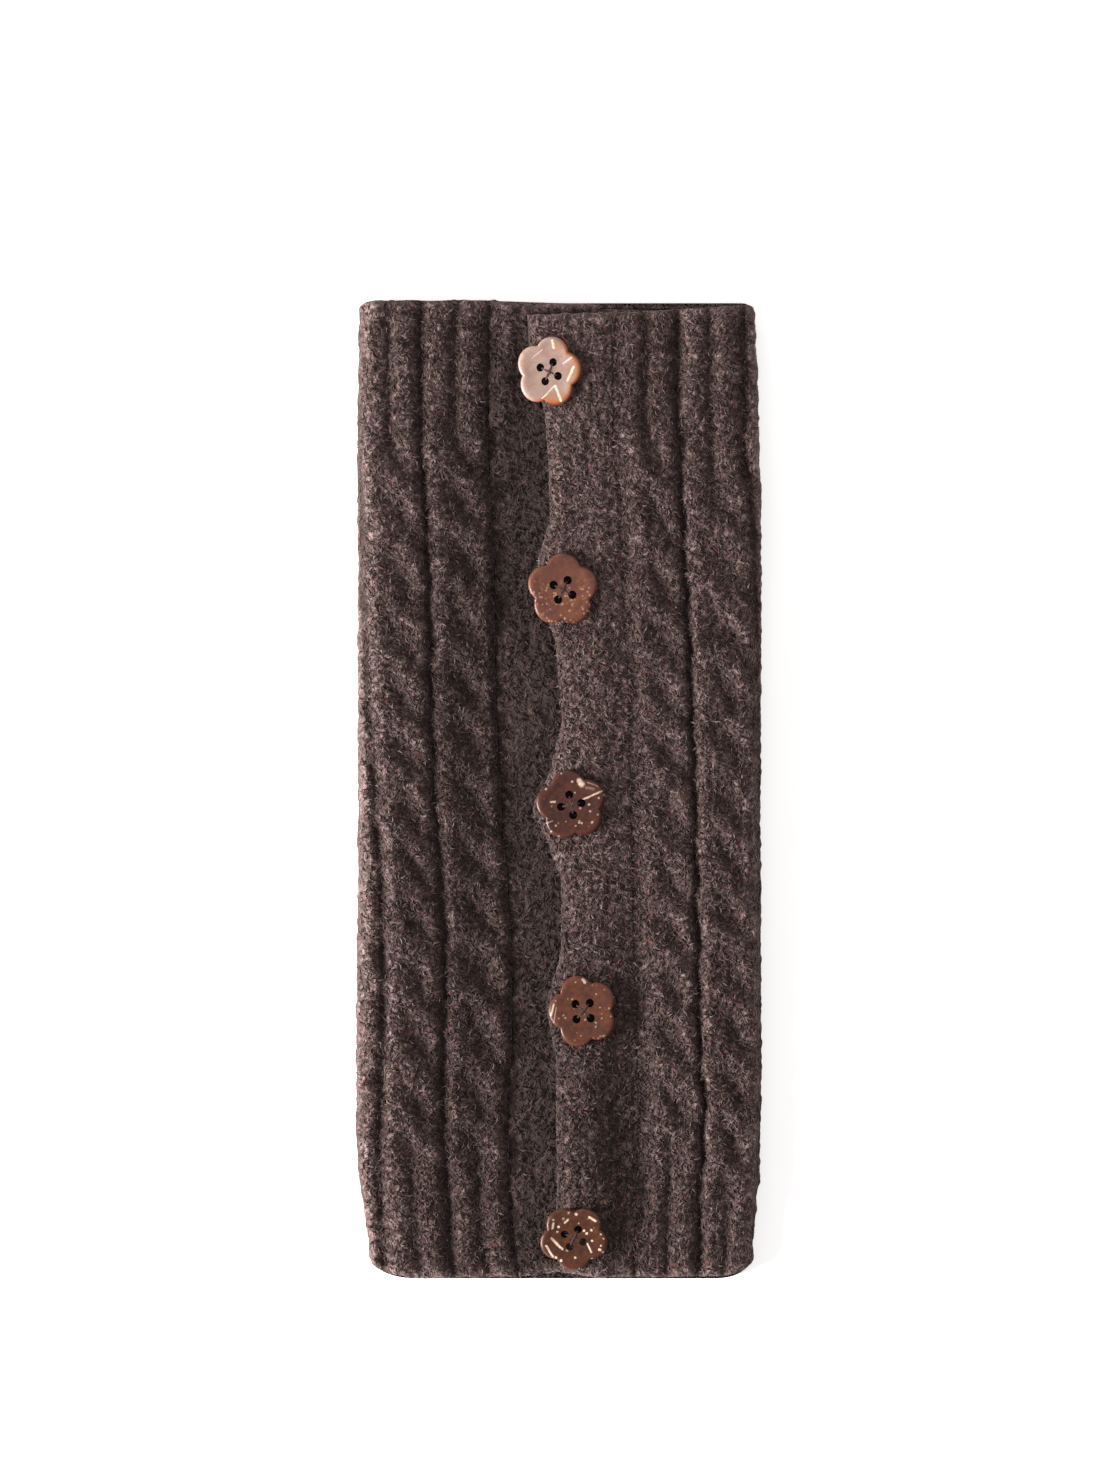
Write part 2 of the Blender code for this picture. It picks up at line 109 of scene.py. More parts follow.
SECTIONS = (
    Section(159.9, -64.9, -65.9, -45.3, -22.4, 17.4, 38.7, 60.2, 64.2),
    Section(114.2, -65.8, -65.5, -45.3, -23.1, 17.4, 38.4, 60.9, 65.6),
    Section(94.6, -65.8, -64.2, -44.0, -22.4, 19.1, 40.0, 62.5, 66.2),
    Section(75.0, -65.5, -63.8, -42.7, -21.1, 20.4, 41.0, 63.8, 66.2),
    Section(29.3, -65.5, -61.9, -42.0, -20.5, 22.7, 43.3, 64.8, 66.2),
    Section(-3.4, -65.5, -59.7, -40.7, -18.8, 23.3, 44.6, 65.1, 65.9),
    Section(-32.8, -65.5, -57.7, -38.4, -16.5, 24.0, 44.9, 65.1, 66.2),
    Section(-55.7, -65.9, -57.4, -37.1, -15.2, 24.6, 45.5, 65.5, 66.2),
    Section(-81.8, -66.2, -57.4, -37.8, -15.2, 25.3, 45.9, 65.5, 66.2),
    Section(-104.7, -66.2, -58.0, -37.8, -16.9, 26.3, 47.5, 65.5, 66.2),
    Section(-124.3, -65.5, -58.7, -36.8, -15.9, 25.6, 46.8, 64.8, 65.8),
    Section(-137.3, -63.6, -58.1, -36.0, -15.3, 25.1, 46.3, 63.9, 64.5),
    Section(-147.1, -62.3, -57.7, -35.5, -14.9, 24.6, 45.9, 63.2, 63.5),
    Section(-159.9, -61.6, -56.4, -33.8, -12.9, 24.3, 45.9, 61.9, 62.9),
)


class Crossing(NamedTuple):
    """The height of the middle of each crease between two strands of a cable, from the top down."""

    cable_1: float
    cable_2: float
    cable_3: float
    cable_4: float


CROSSINGS = (
    Crossing(109.6, 111.3, 112.9, 94.6),
    Crossing(92.3, 93.0, 90.4, 73.7),
    Crossing(68.8, 74.7, 68.1, 51.5),
    Crossing(49.5, 53.8, 50.2, 33.2),
    Crossing(29.9, 34.5, 31.2, 15.2),
    Crossing(11.6, 16.9, 13.3, -4.4),
    Crossing(-7.6, -2.7, -7.3, -20.7),
    Crossing(-23.3, -23.3, -26.9, -41.3),
    Crossing(-43.6, -40.3, -45.5, -60.2),
    Crossing(-62.2, -59.3, -63.8, -77.2),
    Crossing(-80.8, -80.2, -81.2, -95.2),
    Crossing(-100.4, -100.4, -100.4, -113.5),
)
LAST_CROSSING_LENGTH = 18.6


class EdgePoint(NamedTuple):
    """A point on the free edge of the buttonhole band, which pulls towards each button."""

    y: float
    x: float


BAND_EDGE = (
    EdgePoint(159.9, -10.2),
    EdgePoint(145.2, -9.7),
    EdgePoint(136.4, -8.4),
    EdgePoint(122.4, -4.4),
    EdgePoint(101.1, -3.1),
    EdgePoint(88.1, -2.8),
    EdgePoint(75.0, -6.7),
    EdgePoint(65.2, -7.3),
    EdgePoint(47.2, -0.8),
    EdgePoint(22.7, 1.1),
    EdgePoint(8.0, -2.2),
    EdgePoint(-6.7, -8.4),
    EdgePoint(-19.1, -2.8),
    EdgePoint(-30.0, 0.9),
    EdgePoint(-52.0, 0.8),
    EdgePoint(-71.0, -3.9),
    EdgePoint(-88.3, -0.8),
    EdgePoint(-134.1, -0.5),
    EdgePoint(-146.2, -2.2),
    EdgePoint(-159.9, 1.6),
)


class HemPoint(NamedTuple):
    """How high one point of a hem lies across the front."""

    x: float
    y: float


LEFT_TOP_HEM = (HemPoint(-60.0, 159.8), HemPoint(-21.0, 159.8), HemPoint(-10.0, 158.6))
RIGHT_TOP_HEM = (HemPoint(-10.0, 155.0), HemPoint(27.0, 156.0), HemPoint(66.0, 158.6))
LEFT_BOTTOM_HEM = (HemPoint(-62.0, -159.4), HemPoint(-13.0, -159.2), HemPoint(2.0, -156.0))
RIGHT_BOTTOM_HEM = (HemPoint(1.0, -157.2), HemPoint(12.0, -159.2), HemPoint(63.0, -159.0))


class Swell(NamedTuple):
    """A soft rise or hollow of the front: its middle, its reach each way and its height."""

    x: float
    y: float
    reach_x: float
    reach_y: float
    height: float


SWELLS = (
    Swell(-54.0, 0.0, 17.0, 190.0, 2.8),
    Swell(-24.0, -10.0, 13.0, 160.0, -0.4),
    Swell(54.0, 10.0, 16.0, 190.0, 0.8),
    Swell(8.0, -118.0, 9.0, 32.0, 1.0),
    Swell(20.0, -105.0, 10.0, 36.0, -1.4),
    Swell(28.0, 60.0, 12.0, 60.0, 0.8),
)
# The same, for shade painted into the wool's colour there, with painted light where the height is below 0
PAINTED_SHADE_SPOTS = (
    Swell(-26.0, -6.0, 15.0, 200.0, 0.34),
    Swell(17.0, -116.0, 15.0, 36.0, 0.40),
    Swell(-45.0, 130.0, 30.0, 60.0, -0.10),
    Swell(22.0, 102.0, 20.0, 26.0, -0.14),
)


class Lumps(NamedTuple):
    """A layer of random lumps in the cloth: their height, their size, how far they slant and their seed."""

    height: float
    size: float
    slant: float
    seed: int


SWAY = (Lumps(0.35, 23.0, 0.0, 5), Lumps(0.2, 9.0, 0.0, 6))
FELTING = (Lumps(0.32, 1.7, 0.4, 11), Lumps(0.15, 3.0, -0.5, 12))
TWIST_DRIFT = (Lumps(0.13, 11.0, 0.0, 31),)
FOLD_DRIFT = (Lumps(0.25, 5.0, 0.0, 8),)


def bumps(table: tuple[Swell, ...], x: Array, y: Array) -> Array:
    """The heights of a table of swells, added up at each place."""
    total = np.zeros_like(x)
    for s in table:
        total += s.height * np.exp(-(((x - s.x) / s.reach_x) ** 2) - ((y - s.y) / s.reach_y) ** 2)
    return total


def smooth(t: Array) -> Array:
    """An S-shaped step from 0 to 1 as t goes from 0 to 1."""
    t = np.clip(t, 0.0, 1.0)
    return t * t * (3.0 - 2.0 * t)


def rounded(t: Array) -> Array:
    """A quarter of a circle: 0 at the edge and 1 from t = 1 on."""
    t = np.clip(t, 0.0, 1.0)
    return np.sqrt(1.0 - (1.0 - t) ** 2)


def across(rows: tuple, y: Array, column: str) -> Array:
    """One column of a table at heights y, eased from row to row down the garment.

    Args:
        rows: the table, from the top down.
        y: heights in millimetres.
        column: the name of the column to read.

    Returns:
        The column's value at each height.
    """
    heights = np.array([row.y for row in rows[::-1]])
    values = np.array([getattr(row, column) for row in rows[::-1]])
    low = np.clip(np.searchsorted(heights, y) - 1, 0, len(rows) - 2)
    part = np.clip((y - heights[low]) / (heights[low + 1] - heights[low]), 0.0, 1.0)
    part = 0.5 * part + 0.5 * smooth(part)
    return values[low] * (1.0 - part) + values[low + 1] * part


def along_hem(points: tuple, x: Array) -> Array:
    """The height of a hem at x."""
    return np.interp(x, [p.x for p in points], [p.y for p in points])


def lumps(x: Array, y: Array, size: float, seed: int) -> Array:
    """Smooth random lumps from -1 to 1 over the cloth.

    Args:
        x: places across, in millimetres.
        y: places along, in millimetres.
        size: how far apart the lumps are, in millimetres.
        seed: which lumps.

    Returns:
        The height of the lumps at each place.
    """
    across_count, along_count = int(LUMP_REACH[0] / size) + 3, int(LUMP_REACH[1] / size) + 3
    field_values = np.random.default_rng(seed).uniform(-1.0, 1.0, (along_count, across_count))
    u, v = x / size + 0.5 * across_count, y / size + 0.5 * along_count
    i = np.clip(np.floor(u).astype(int), 0, across_count - 2)
    j = np.clip(np.floor(v).astype(int), 0, along_count - 2)
    s, t = smooth(u - i), smooth(v - j)
    low = field_values[j, i] * (1.0 - s) + field_values[j, i + 1] * s
    high = field_values[j + 1, i] * (1.0 - s) + field_values[j + 1, i + 1] * s
    return low * (1.0 - t) + high * t


def layered(layers: tuple[Lumps, ...], x: Array, y: Array) -> Array:
    """Layers of lumps, added up at each place."""
    total = np.zeros_like(x)
    for layer in layers:
        spots = x + layer.slant * y, y - layer.slant * x
        total += layer.height * lumps(*spots, layer.size, layer.seed)
    return total


def blurred(values: Array, passes: int) -> Array:
    """Softens a grid of values by averaging each with its neighbours a few times."""
    for _ in range(passes):
        for axis in (0, 1):
            padded = np.concatenate((values.take([0], axis), values, values.take([-1], axis)), axis)
            count = values.shape[axis]
            before = padded.take(range(count), axis)
            after = padded.take(range(2, count + 2), axis)
            values = 0.25 * before + 0.5 * values + 0.25 * after
    return values


@dataclass(frozen=True)
class KnitForm:
    """The form of the flat garment, in millimetres, as its solids have it, with a finer surface."""

    back_wall: float = 2.8
    layer_gap: float = 0.4
    groove_wall: float = 1.7
    groove_reach: float = 0.1
    groove_shade: float = 0.3
    band_wall: float = 2.8
    under_band_wall: float = 2.6
    seam_gap: float = 0.3
    closed_seam: float = 0.02
    side_wall: float = 2.4
    fold_reach: float = 5.0
    under_fold_reach: float = 3.2
    rib_height: float = 2.6
    rib_place: float = 0.45
    rib_half_width: float = 0.46
    rib_blend: float = 9.0
    cable_height: float = 3.9
    cable_edge: float = 0.3
    edge_notch: float = 0.12
    strand_lean: float = 0.6
    strand_bend: float = 0.12
    strand_tilt: float = 0.35
    crease_share: float = 0.48
    crease_middle: float = 0.18
    crease_reach: float = 0.66
    crease_power: float = 0.9
    drift_width: float = 20.0
    side_cable_width: float = 21.0
    button_band_edge: float = 13.5
    slope_end: float = 30.0
    band_fade: float = 10.0
    seam_blend: float = 9.0
    hem_round: float = 1.9
    hem_edge: float = 0.45
    top_corners: tuple[tuple[float, float], ...] = ((2.6, 2.4), (4.2, 3.6))
    bottom_corners: tuple[tuple[float, float], ...] = ((15.0, 7.4), (11.5, 7.0))
    back_top: float = 159.0
    back_bottom: float = -159.8
    wale: float = 2.5
    course: float = 2.0
    stitch_lean: float = 0.45
    stitch_floor: float = 0.45

    @property
    def front_inside(self) -> float:
        """The height of the front's plain inside where nothing lies under it."""
        return self.back_wall + self.layer_gap

    @property
    def over_band_inside(self) -> float:
        """The height of the buttonhole band's inside, over the button band."""
        return self.front_inside + self.under_band_wall + self.seam_gap

    @property
    def fold_middle(self) -> float:
        """The height of the folds' widest line."""
        return self.back_wall + 0.5 * self.layer_gap

    def line(self, name: str, y: Array) -> Array:
        """A named line of the sections at heights y."""
        return across(SECTIONS, y, name)

    def inside(self, x: Array, right: bool) -> Array:
        """The plain inside of the front, which on the right comes down from over the button band."""
        if not right:
            return np.full_like(x, self.front_inside)
        rise = self.over_band_inside - self.front_inside
        slope = self.slope_end - self.button_band_edge - self.seam_gap
        return self.front_inside + rise * np.clip((self.slope_end - x) / slope, 0.0, 1.0)

    def turns(self, cable: Cable, y: Array) -> Array:
        """How many crossings a cable has made by height y, whole in the ribs above and below it."""
        starts = [getattr(row, cable.value) for row in CROSSINGS]
        starts.append(starts[-1] - LAST_CROSSING_LENGTH)
        return np.interp(-y, [-start for start in starts], np.arange(len(starts)))

    def cabled(self, cable: Cable, y: Array) -> Array:
        """1 within a cable and 0 in the ribs above and below it."""
        first = getattr(CROSSINGS[0], cable.value)
        last = getattr(CROSSINGS[-1], cable.value) - LAST_CROSSING_LENGTH
        above = smooth((first + self.rib_blend - y) / self.rib_blend)
        return above * smooth((y - last + self.rib_blend) / self.rib_blend)

    def ribs(self, place: Array) -> Array:
        """The height of the two straight ribs that a cable's strands run into."""
        offset = (np.abs(place) - self.rib_place) / self.rib_half_width
        return self.rib_height * np.sqrt(np.clip(1.0 - offset * offset, 0.0, 1.0))

    def rope(self, place: Array, turn: Array) -> Array:
        """The height of a twisted cable, whose strands lean across it and meet in creases."""
        run = turn - self.strand_lean * place - self.strand_bend * place * np.abs(place)
        offset = 2.0 * (run - np.floor(run)) - 1.0
        valley = (0.5 - 0.5 * np.cos(math.pi * offset)) ** self.crease_power
        from_middle = (place - self.crease_middle) / self.crease_reach
        crease = self.crease_share * np.exp(-from_middle * from_middle) * valley
        tilt = self.strand_tilt * np.sin(math.pi * offset) * place
        edge = rounded((1.0 - np.abs(place) - self.edge_notch * offset * offset) / self.cable_edge)
        return (self.cable_height * (1.0 - crease) - tilt) * edge

    def cable(self, cable: Cable, place: Array, y: Array) -> Array:
        """The height of a cable, or of the ribs above and below it, over its ground."""
        twisted = self.cabled(cable, y)
        turn = self.turns(cable, y) + layered(TWIST_DRIFT, place * self.drift_width, y)
        return self.ribs(place) * (1.0 - twisted) + self.rope(place, turn) * twisted

    def relief(self, x: Array, y: Array) -> tuple[Array, Array, Array]:
        """The height of the ribs and cables over the front, the column of the stitch and the sunken lines."""
        at = {name: self.line(name, y) for name in Section._fields[1:]}
        spans = (
            (Cable.TWO, at["before_cable_1"] - self.side_cable_width, at["before_cable_1"]),
            (Cable.ONE, at["before_cable_1"], at["between_1_and_2"]),
            (Cable.TWO, at["between_1_and_2"], at["button_band_seam"]),
            (Cable.THREE, at["buttonhole_band_seam"], at["between_3_and_4"]),
            (Cable.FOUR, at["between_3_and_4"], at["after_cable_4"]),
            (Cable.THREE, at["after_cable_4"], at["after_cable_4"] + self.side_cable_width),
        )
        height, wale, groove = np.zeros_like(x), np.zeros_like(x), np.zeros_like(x)
        for cable, start, end in spans:
            here = (x >= start) & (x <= end)
            place = 2.0 * (x - start) / (end - start) - 1.0
            height = np.where(here, self.cable(cable, place, y), height)
            wale = np.where(here, (x - start) / self.wale, wale)
            from_edge = (1.0 - np.abs(place)) / self.groove_reach
            groove = np.where(here, np.exp(-from_edge * from_edge), groove)
        return height, wale, groove

    def swell(self, x: Array, y: Array) -> Array:
        """The soft rises and hollows of the front as it lies."""
        return bumps(SWELLS, x, y) + layered(SWAY, x, y)

    def hem_share(self, distance: Array) -> Array:
        """How much of the wall is left at a distance from a hem's edge."""
        return self.hem_edge + (1.0 - self.hem_edge) * rounded(distance / self.hem_round)

    @staticmethod
    def outward(wale: Array) -> Array:
        """0 along the middle of a column of stitches and 1 between two columns."""
        return np.abs(wale - np.floor(wale) - 0.5) * 2.0

    def gap(self, wale: Array) -> Array:
        """1 in the furrows between the columns of stitches and 0 along their middles."""
        return self.outward(wale) ** 3

    def stitch(self, wale: Array, course: Array) -> Array:
        """The raised V of a knitted stitch, from 0 in the gaps to 1 on its legs."""
        leg = self.outward(wale)
        wave = 0.5 + 0.5 * np.cos(SWEEP * (course + self.stitch_lean * leg))
        return (1.0 - leg**4) * (self.stitch_floor + (1.0 - self.stitch_floor) * wave)


class KnitLine(NamedTuple):
    """One lengthwise line of a knitted piece: its points outside and inside, and what its finish reads."""

    outside: Array
    inside: Array
    wale: Array
    course: Array
    hollow: Array


@dataclass
class Cloth:
    """A grid of points over one knitted piece, with what its finish reads, in millimetres."""

    points: Array
    wale: Array
    course: Array
    # The first is shade painted into the wool's colour, with painted light below 0; the second is painted
    # light on raised parts and painted shade in small dips
    hollow: Array
    pile: Array | None = None

    def normals(self) -> Array:
        """The outward direction at each point, which is up on most of the piece."""
        down = np.gradient(self.points, axis=0)
        over = np.gradient(self.points, axis=1)
        normal = np.cross(down, over)
        length = np.linalg.norm(normal, axis=2, keepdims=True) * np.sign(np.median(normal[..., 2]))
        return normal / np.where(np.abs(length) < 1e-9, 1e-9, length)

    def raised(self, height: Array) -> None:
        """Moves each point out by a height."""
        self.points = self.points + self.normals() * height[..., None]


def gathered(lines: list[KnitLine]) -> tuple[Cloth, Array]:
    """Gathers lengthwise lines into the grid of the outside and that of the inside."""
    outside, inside, wale, course, hollow = (np.stack(part, axis=1) for part in zip(*lines))
    return Cloth(outside, wale, course, hollow), inside


def as_mesh(bm: bmesh.types.BMesh, name: str) -> bpy.types.Mesh:
    """Turns finished bmesh work into a named mesh."""
    mesh = bpy.data.meshes.new(name)
    bm.to_mesh(mesh)
    bm.free()
    return mesh


def store(mesh: bpy.types.Mesh, name: str, values: Array) -> None:
    """Keeps one number for each point of a mesh, for its finish to read."""
    layer = mesh.attributes.new(name, "FLOAT", "POINT")
    layer.data.foreach_set("value", values.astype(np.float32))


def linked(name: str, data: Any) -> bpy.types.Object:
    """A new object in the scene for a mesh, a lamp or a camera."""
    made = bpy.data.objects.new(name, data)
    bpy.context.scene.collection.objects.link(made)
    return made


def tube_mesh(name: str, outside: Cloth, inside: Array) -> bpy.types.Mesh:
    """A closed wall from its fine outside and its coarser inside.

    Args:
        name: the mesh's name.
        outside: the grid over the outside, its columns running from one free edge to the other.
        inside: the grid of points of the inside, its columns running back again.

    Returns:
        The closed mesh, with its painted shade and its painted light and shade on raised parts as attributes.
    """
    ring = np.concatenate((outside.points, inside, outside.points[:, :1]), axis=1)
    rows, columns = ring.shape[:2]
    # The inside takes no painted shade and the most painted light for raised parts
    spare = np.zeros(inside.shape[:2])
    filled = {
        "hollow": np.concatenate((outside.hollow, spare, outside.hollow[:, :1]), axis=1),
        "pile": np.concatenate((outside.pile, spare + 1.0, outside.pile[:, :1]), axis=1),
    }
    bm = bmesh.new()
    bmesh.ops.create_grid(bm, x_segments=columns - 1, y_segments=rows - 1, size=1.0)
    mesh = as_mesh(bm, name)
    flat = np.empty(len(mesh.vertices) * 3, np.float32)
    mesh.vertices.foreach_get("co", flat)
    flat = flat.reshape(-1, 3)
    column = np.rint((flat[:, 0] + 1.0) * 0.5 * (columns - 1)).astype(int)
    row = np.rint((1.0 - flat[:, 1]) * 0.5 * (rows - 1)).astype(int)
    mesh.vertices.foreach_set("co", (ring[row, column] * MM).astype(np.float32).ravel())
    for attribute, values in filled.items():
        store(mesh, attribute, values[row, column])
    bm = bmesh.new()
    bm.from_mesh(mesh)
    rims = [vert for vert in bm.verts if vert.is_boundary]
    bmesh.ops.remove_doubles(bm, verts=rims, dist=1e-7)
    open_edges = [edge for edge in bm.edges if edge.is_boundary]
    ends = bmesh.ops.holes_fill(bm, edges=open_edges, sides=0)["faces"]
    bmesh.ops.triangulate(bm, faces=ends, ngon_method="EAR_CLIP")
    bmesh.ops.recalc_face_normals(bm, faces=bm.faces)
    bm.to_mesh(mesh)
    bm.free()
    mesh.shade_smooth()
    return mesh


def add_piece(name: str, mesh: bpy.types.Mesh, finish: bpy.types.Material) -> bpy.types.Object:
    """Links a finished mesh as a piece that rides on the garment's only body."""
    piece = linked(name, mesh)
    mesh.materials.clear()
    mesh.materials.append(finish)
    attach(piece, "root")
    LOG.info("%s: %d faces", name, len(mesh.polygons))
    return piece


class Ramp(Enum):
    """How a step from 0 to 1 climbs."""

    STRAIGHT = "LINEAR"
    SMOOTH = "SMOOTHSTEP"


class Sock:
    """A shader socket that takes part in Python arithmetic, adding a Math node for each step."""

    def __init__(self, work: "NodeWork", socket: bpy.types.NodeSocket) -> None:
        """Wraps a socket of a material's nodes."""
        self.work = work
        self.socket = socket

    def step(self, operation: str, *values: Any) -> "Sock":
        """One Math node on these values."""
        inputs = dict(enumerate(values))
        return self.work.node("ShaderNodeMath", {"operation": operation}, inputs)

    def __add__(self, other: Any) -> "Sock":
        """The sum."""
        return self.step("ADD", self, other)

    __radd__ = __add__

    def __mul__(self, other: Any) -> "Sock":
        """The product."""
        return self.step("MULTIPLY", self, other)

    __rmul__ = __mul__

    def __sub__(self, other: Any) -> "Sock":
        """This less the other."""
        return self.step("SUBTRACT", self, other)

    def __rsub__(self, other: Any) -> "Sock":
        """The other less this."""
        return self.step("SUBTRACT", other, self)

    def clamped(self, low: float, high: float) -> "Sock":
        """This, kept between low and high."""
        return self.work.node("ShaderNodeClamp", {}, {"Value": self, "Min": low, "Max": high})

    def between(self, low: float, high: float, ramp: Ramp = Ramp.SMOOTH) -> "Sock":
        """A step from 0 at low to 1 at high."""
        values = {"Value": self, "From Min": low, "From Max": high}
        return self.work.node("ShaderNodeMapRange", {"interpolation_type": ramp.value}, values)


class NodeWork:
    """The nodes of one material."""

    def __init__(self, name: str) -> None:
        """Starts a material with only a Principled shader and its output."""
        self.material = bpy.data.materials.new(name)
        self.material.use_nodes = True
        self.tree = self.material.node_tree
        self.shader = self.tree.nodes["Principled BSDF"]

    def node(self, kind: str, settings: dict[str, Any], inputs: dict[Any, Any], output: Any = 0) -> Sock:
        """Adds a node.

        Args:
            kind: the node's type.
            settings: its own settings, with stops and blend for a colour ramp's colours and its steps.
            inputs: values or sockets for its inputs, by name or number.
            output: which of its outputs to return.

        Returns:
            The output, wrapped.
        """
        node = self.tree.nodes.new(kind)
        for key, value in settings.items():
            if key == "stops":
                self.set_stops(node.color_ramp, value)
            elif key == "blend":
                node.color_ramp.interpolation = value
            else:
                setattr(node, key, value)
        for key, value in inputs.items():
            self.feed(node.inputs[key], value)
        return Sock(self, node.outputs[output])

    def feed(self, socket: bpy.types.NodeSocket, value: Any) -> None:
        """Links a wrapped socket to an input, or sets its value."""
        if isinstance(value, Sock):
            self.tree.links.new(value.socket, socket)
        else:
            socket.default_value = value

    @staticmethod
    def set_stops(ramp: bpy.types.ColorRamp, stops: list[tuple[float, Colour]]) -> None:
        """Gives a colour ramp its positions and colours."""
        while len(ramp.elements) < len(stops):
            ramp.elements.new(1.0)
        for element, (position, colour) in zip(ramp.elements, stops):
            element.position = position
            element.color = (*colour, 1.0)

    def place(self) -> Sock:
        """A point of the piece in millimetres."""
        return self.scaled(self.node("ShaderNodeTexCoord", {}, {}, "Object"), 1.0 / MM)

    def noise(
        self, point: Sock, size: float, detail: float = 2.0, roughness: float = 0.5, curl: float = 0.0
    ) -> Sock:
        """Smooth noise whose features are about size millimetres across, curled up by the last value."""
        values = {"Detail": detail, "Roughness": roughness, "Distortion": curl}
        return self.node("ShaderNodeTexNoise", {}, {"Vector": point, "Scale": 1.0 / size, **values}, "Fac")

    def ridges(self, point: Sock, size: float, curl: float, width: float) -> Sock:
        """Curly raised lines about size millimetres apart, from 0 between them to 1 along their middles."""
        wave = self.noise(point, size, 1.0, 0.5, curl) - 0.5
        return 1.0 - wave.step("ABSOLUTE", wave).between(0.0, width)

    def vector(self, operation: str, first: Any, second: Any) -> Sock:
        """One Vector Math node on two vectors."""
        return self.node("ShaderNodeVectorMath", {"operation": operation}, {0: first, 1: second})

    def scaled(self, vector: Any, by: Any) -> Sock:
        """A vector made longer or shorter."""
        return self.node("ShaderNodeVectorMath", {"operation": "SCALE"}, {0: vector, "Scale": by})

    def length(self, vector: Sock) -> Sock:
        """How long a vector is."""
        return self.node("ShaderNodeVectorMath", {"operation": "LENGTH"}, {0: vector}, "Value")

    def dot(self, first: Any, second: Any) -> Sock:
        """The dot product of two vectors."""
        return self.node("ShaderNodeVectorMath", {"operation": "DOT_PRODUCT"}, {0: first, 1: second}, "Value")

    def wander(self, point: Sock, size: float, reach: float) -> Sock:
        """A random shift of up to half the reach each way, in features of a size, in millimetres."""
        shift = self.node("ShaderNodeTexNoise", {}, {"Vector": point, "Scale": 1.0 / size}, "Color")
        return self.scaled(self.vector("SUBTRACT", shift, (0.5, 0.5, 0.5)), reach)

    def mixed(self, factor: Any, first: Any, second: Any) -> Sock:
        """Two colours mixed by a factor."""
        colours = [(*c, 1.0) if isinstance(c, tuple) else c for c in (first, second)]
        return self.node("ShaderNodeMix", {"data_type": "RGBA"}, {0: factor, 6: colours[0], 7: colours[1]}, 2)

    def attribute(self, name: str) -> Sock:
        """A number stored on the piece's points."""
        return self.node("ShaderNodeAttribute", {"attribute_name": name}, {}, "Fac")

    def bump(self, height: Sock, distance: float) -> Sock:
        """A bump of this height in millimetres."""
        return self.node("ShaderNodeBump", {}, {"Height": height, "Distance": distance * MM}, 0)

    def finish(self, **inputs: Any) -> bpy.types.Material:
        """Feeds the Principled shader's inputs, named with underscores, and returns the material."""
        for key, value in inputs.items():
            self.feed(self.shader.inputs[key.replace("_", " ")], value)
        return self.material


@dataclass(frozen=True)
class HeatheredWool:
    """Fulled brown wool with darker and paler fibres carded together."""

    deep: Colour = (0.0120, 0.0072, 0.0062)
    brown: Colour = (0.044, 0.0255, 0.0228)
    light: Colour = (0.116, 0.075, 0.070)
    pale: Colour = (0.270, 0.197, 0.190)
    rust: Colour = (0.120, 0.034, 0.036)
    moss: Colour = (0.044, 0.037, 0.022)
    curl_size: float = 3.4
    tuft_size: float = 2.4
    fibre_size: float = 1.0
    patch_size: float = 9.0
    rust_size: float = 3.0
    moss_size: float = 3.6
    fleck_amount: float = 0.6
    darkest_tone: float = 0.62
    palest_tone: float = 1.46
    painted_shade_amount: float = 0.62
    fuzz_depth: float = 0.8

    def material(self) -> bpy.types.Material:
        """Builds the finish for the knitted pieces."""
        work = NodeWork("heathered_wool")
        point = work.place()
        hollow, pile = work.attribute("hollow"), work.attribute("pile")
        curl = work.ridges(point, self.curl_size, curl=1.1, width=0.13)
        tuft = work.noise(point, self.tuft_size, 1.5, 0.55, curl=1.4)
        fibre = work.noise(point, self.fibre_size, 1.5, 0.5, curl=1.2)
        patch = work.noise(point, self.patch_size)
        # Painted light on raised parts and painted shade in dips and creases move the tone
        tone = curl * 0.26 + tuft * 0.72 + fibre * 0.4 + patch * 0.3 + pile * 0.36 - hollow * 0.3 + 0.04
        level = tone.between(self.darkest_tone, self.palest_tone, Ramp.STRAIGHT)
        stops = [(0.0, self.deep), (0.36, self.brown), (0.62, self.light), (0.95, self.pale)]
        ramp = work.node("ShaderNodeValToRGB", {"stops": stops}, {"Fac": level}, "Color")
        rust = work.noise(point, self.rust_size, roughness=0.6).between(0.56, 0.72) * self.fleck_amount
        moss = work.noise(point, self.moss_size, roughness=0.6).between(0.57, 0.72) * self.fleck_amount
        body = work.mixed(moss, work.mixed(rust, ramp, self.rust), self.moss)
        # Painted shade: the colour goes towards the deep colour where shade is painted
        colour = work.mixed(hollow.between(0.0, 1.0, Ramp.STRAIGHT) * self.painted_shade_amount, body, self.deep)
        height = curl * 0.45 + tuft + fibre * 0.35
        return work.finish(
            Base_Color=colour,
            Roughness=0.95,
            Specular_IOR_Level=0.12,
            Sheen_Weight=0.3,
            Sheen_Roughness=0.6,
            Sheen_Tint=(0.86, 0.66, 0.62, 1.0),
            Normal=work.bump(height, self.fuzz_depth),
        )


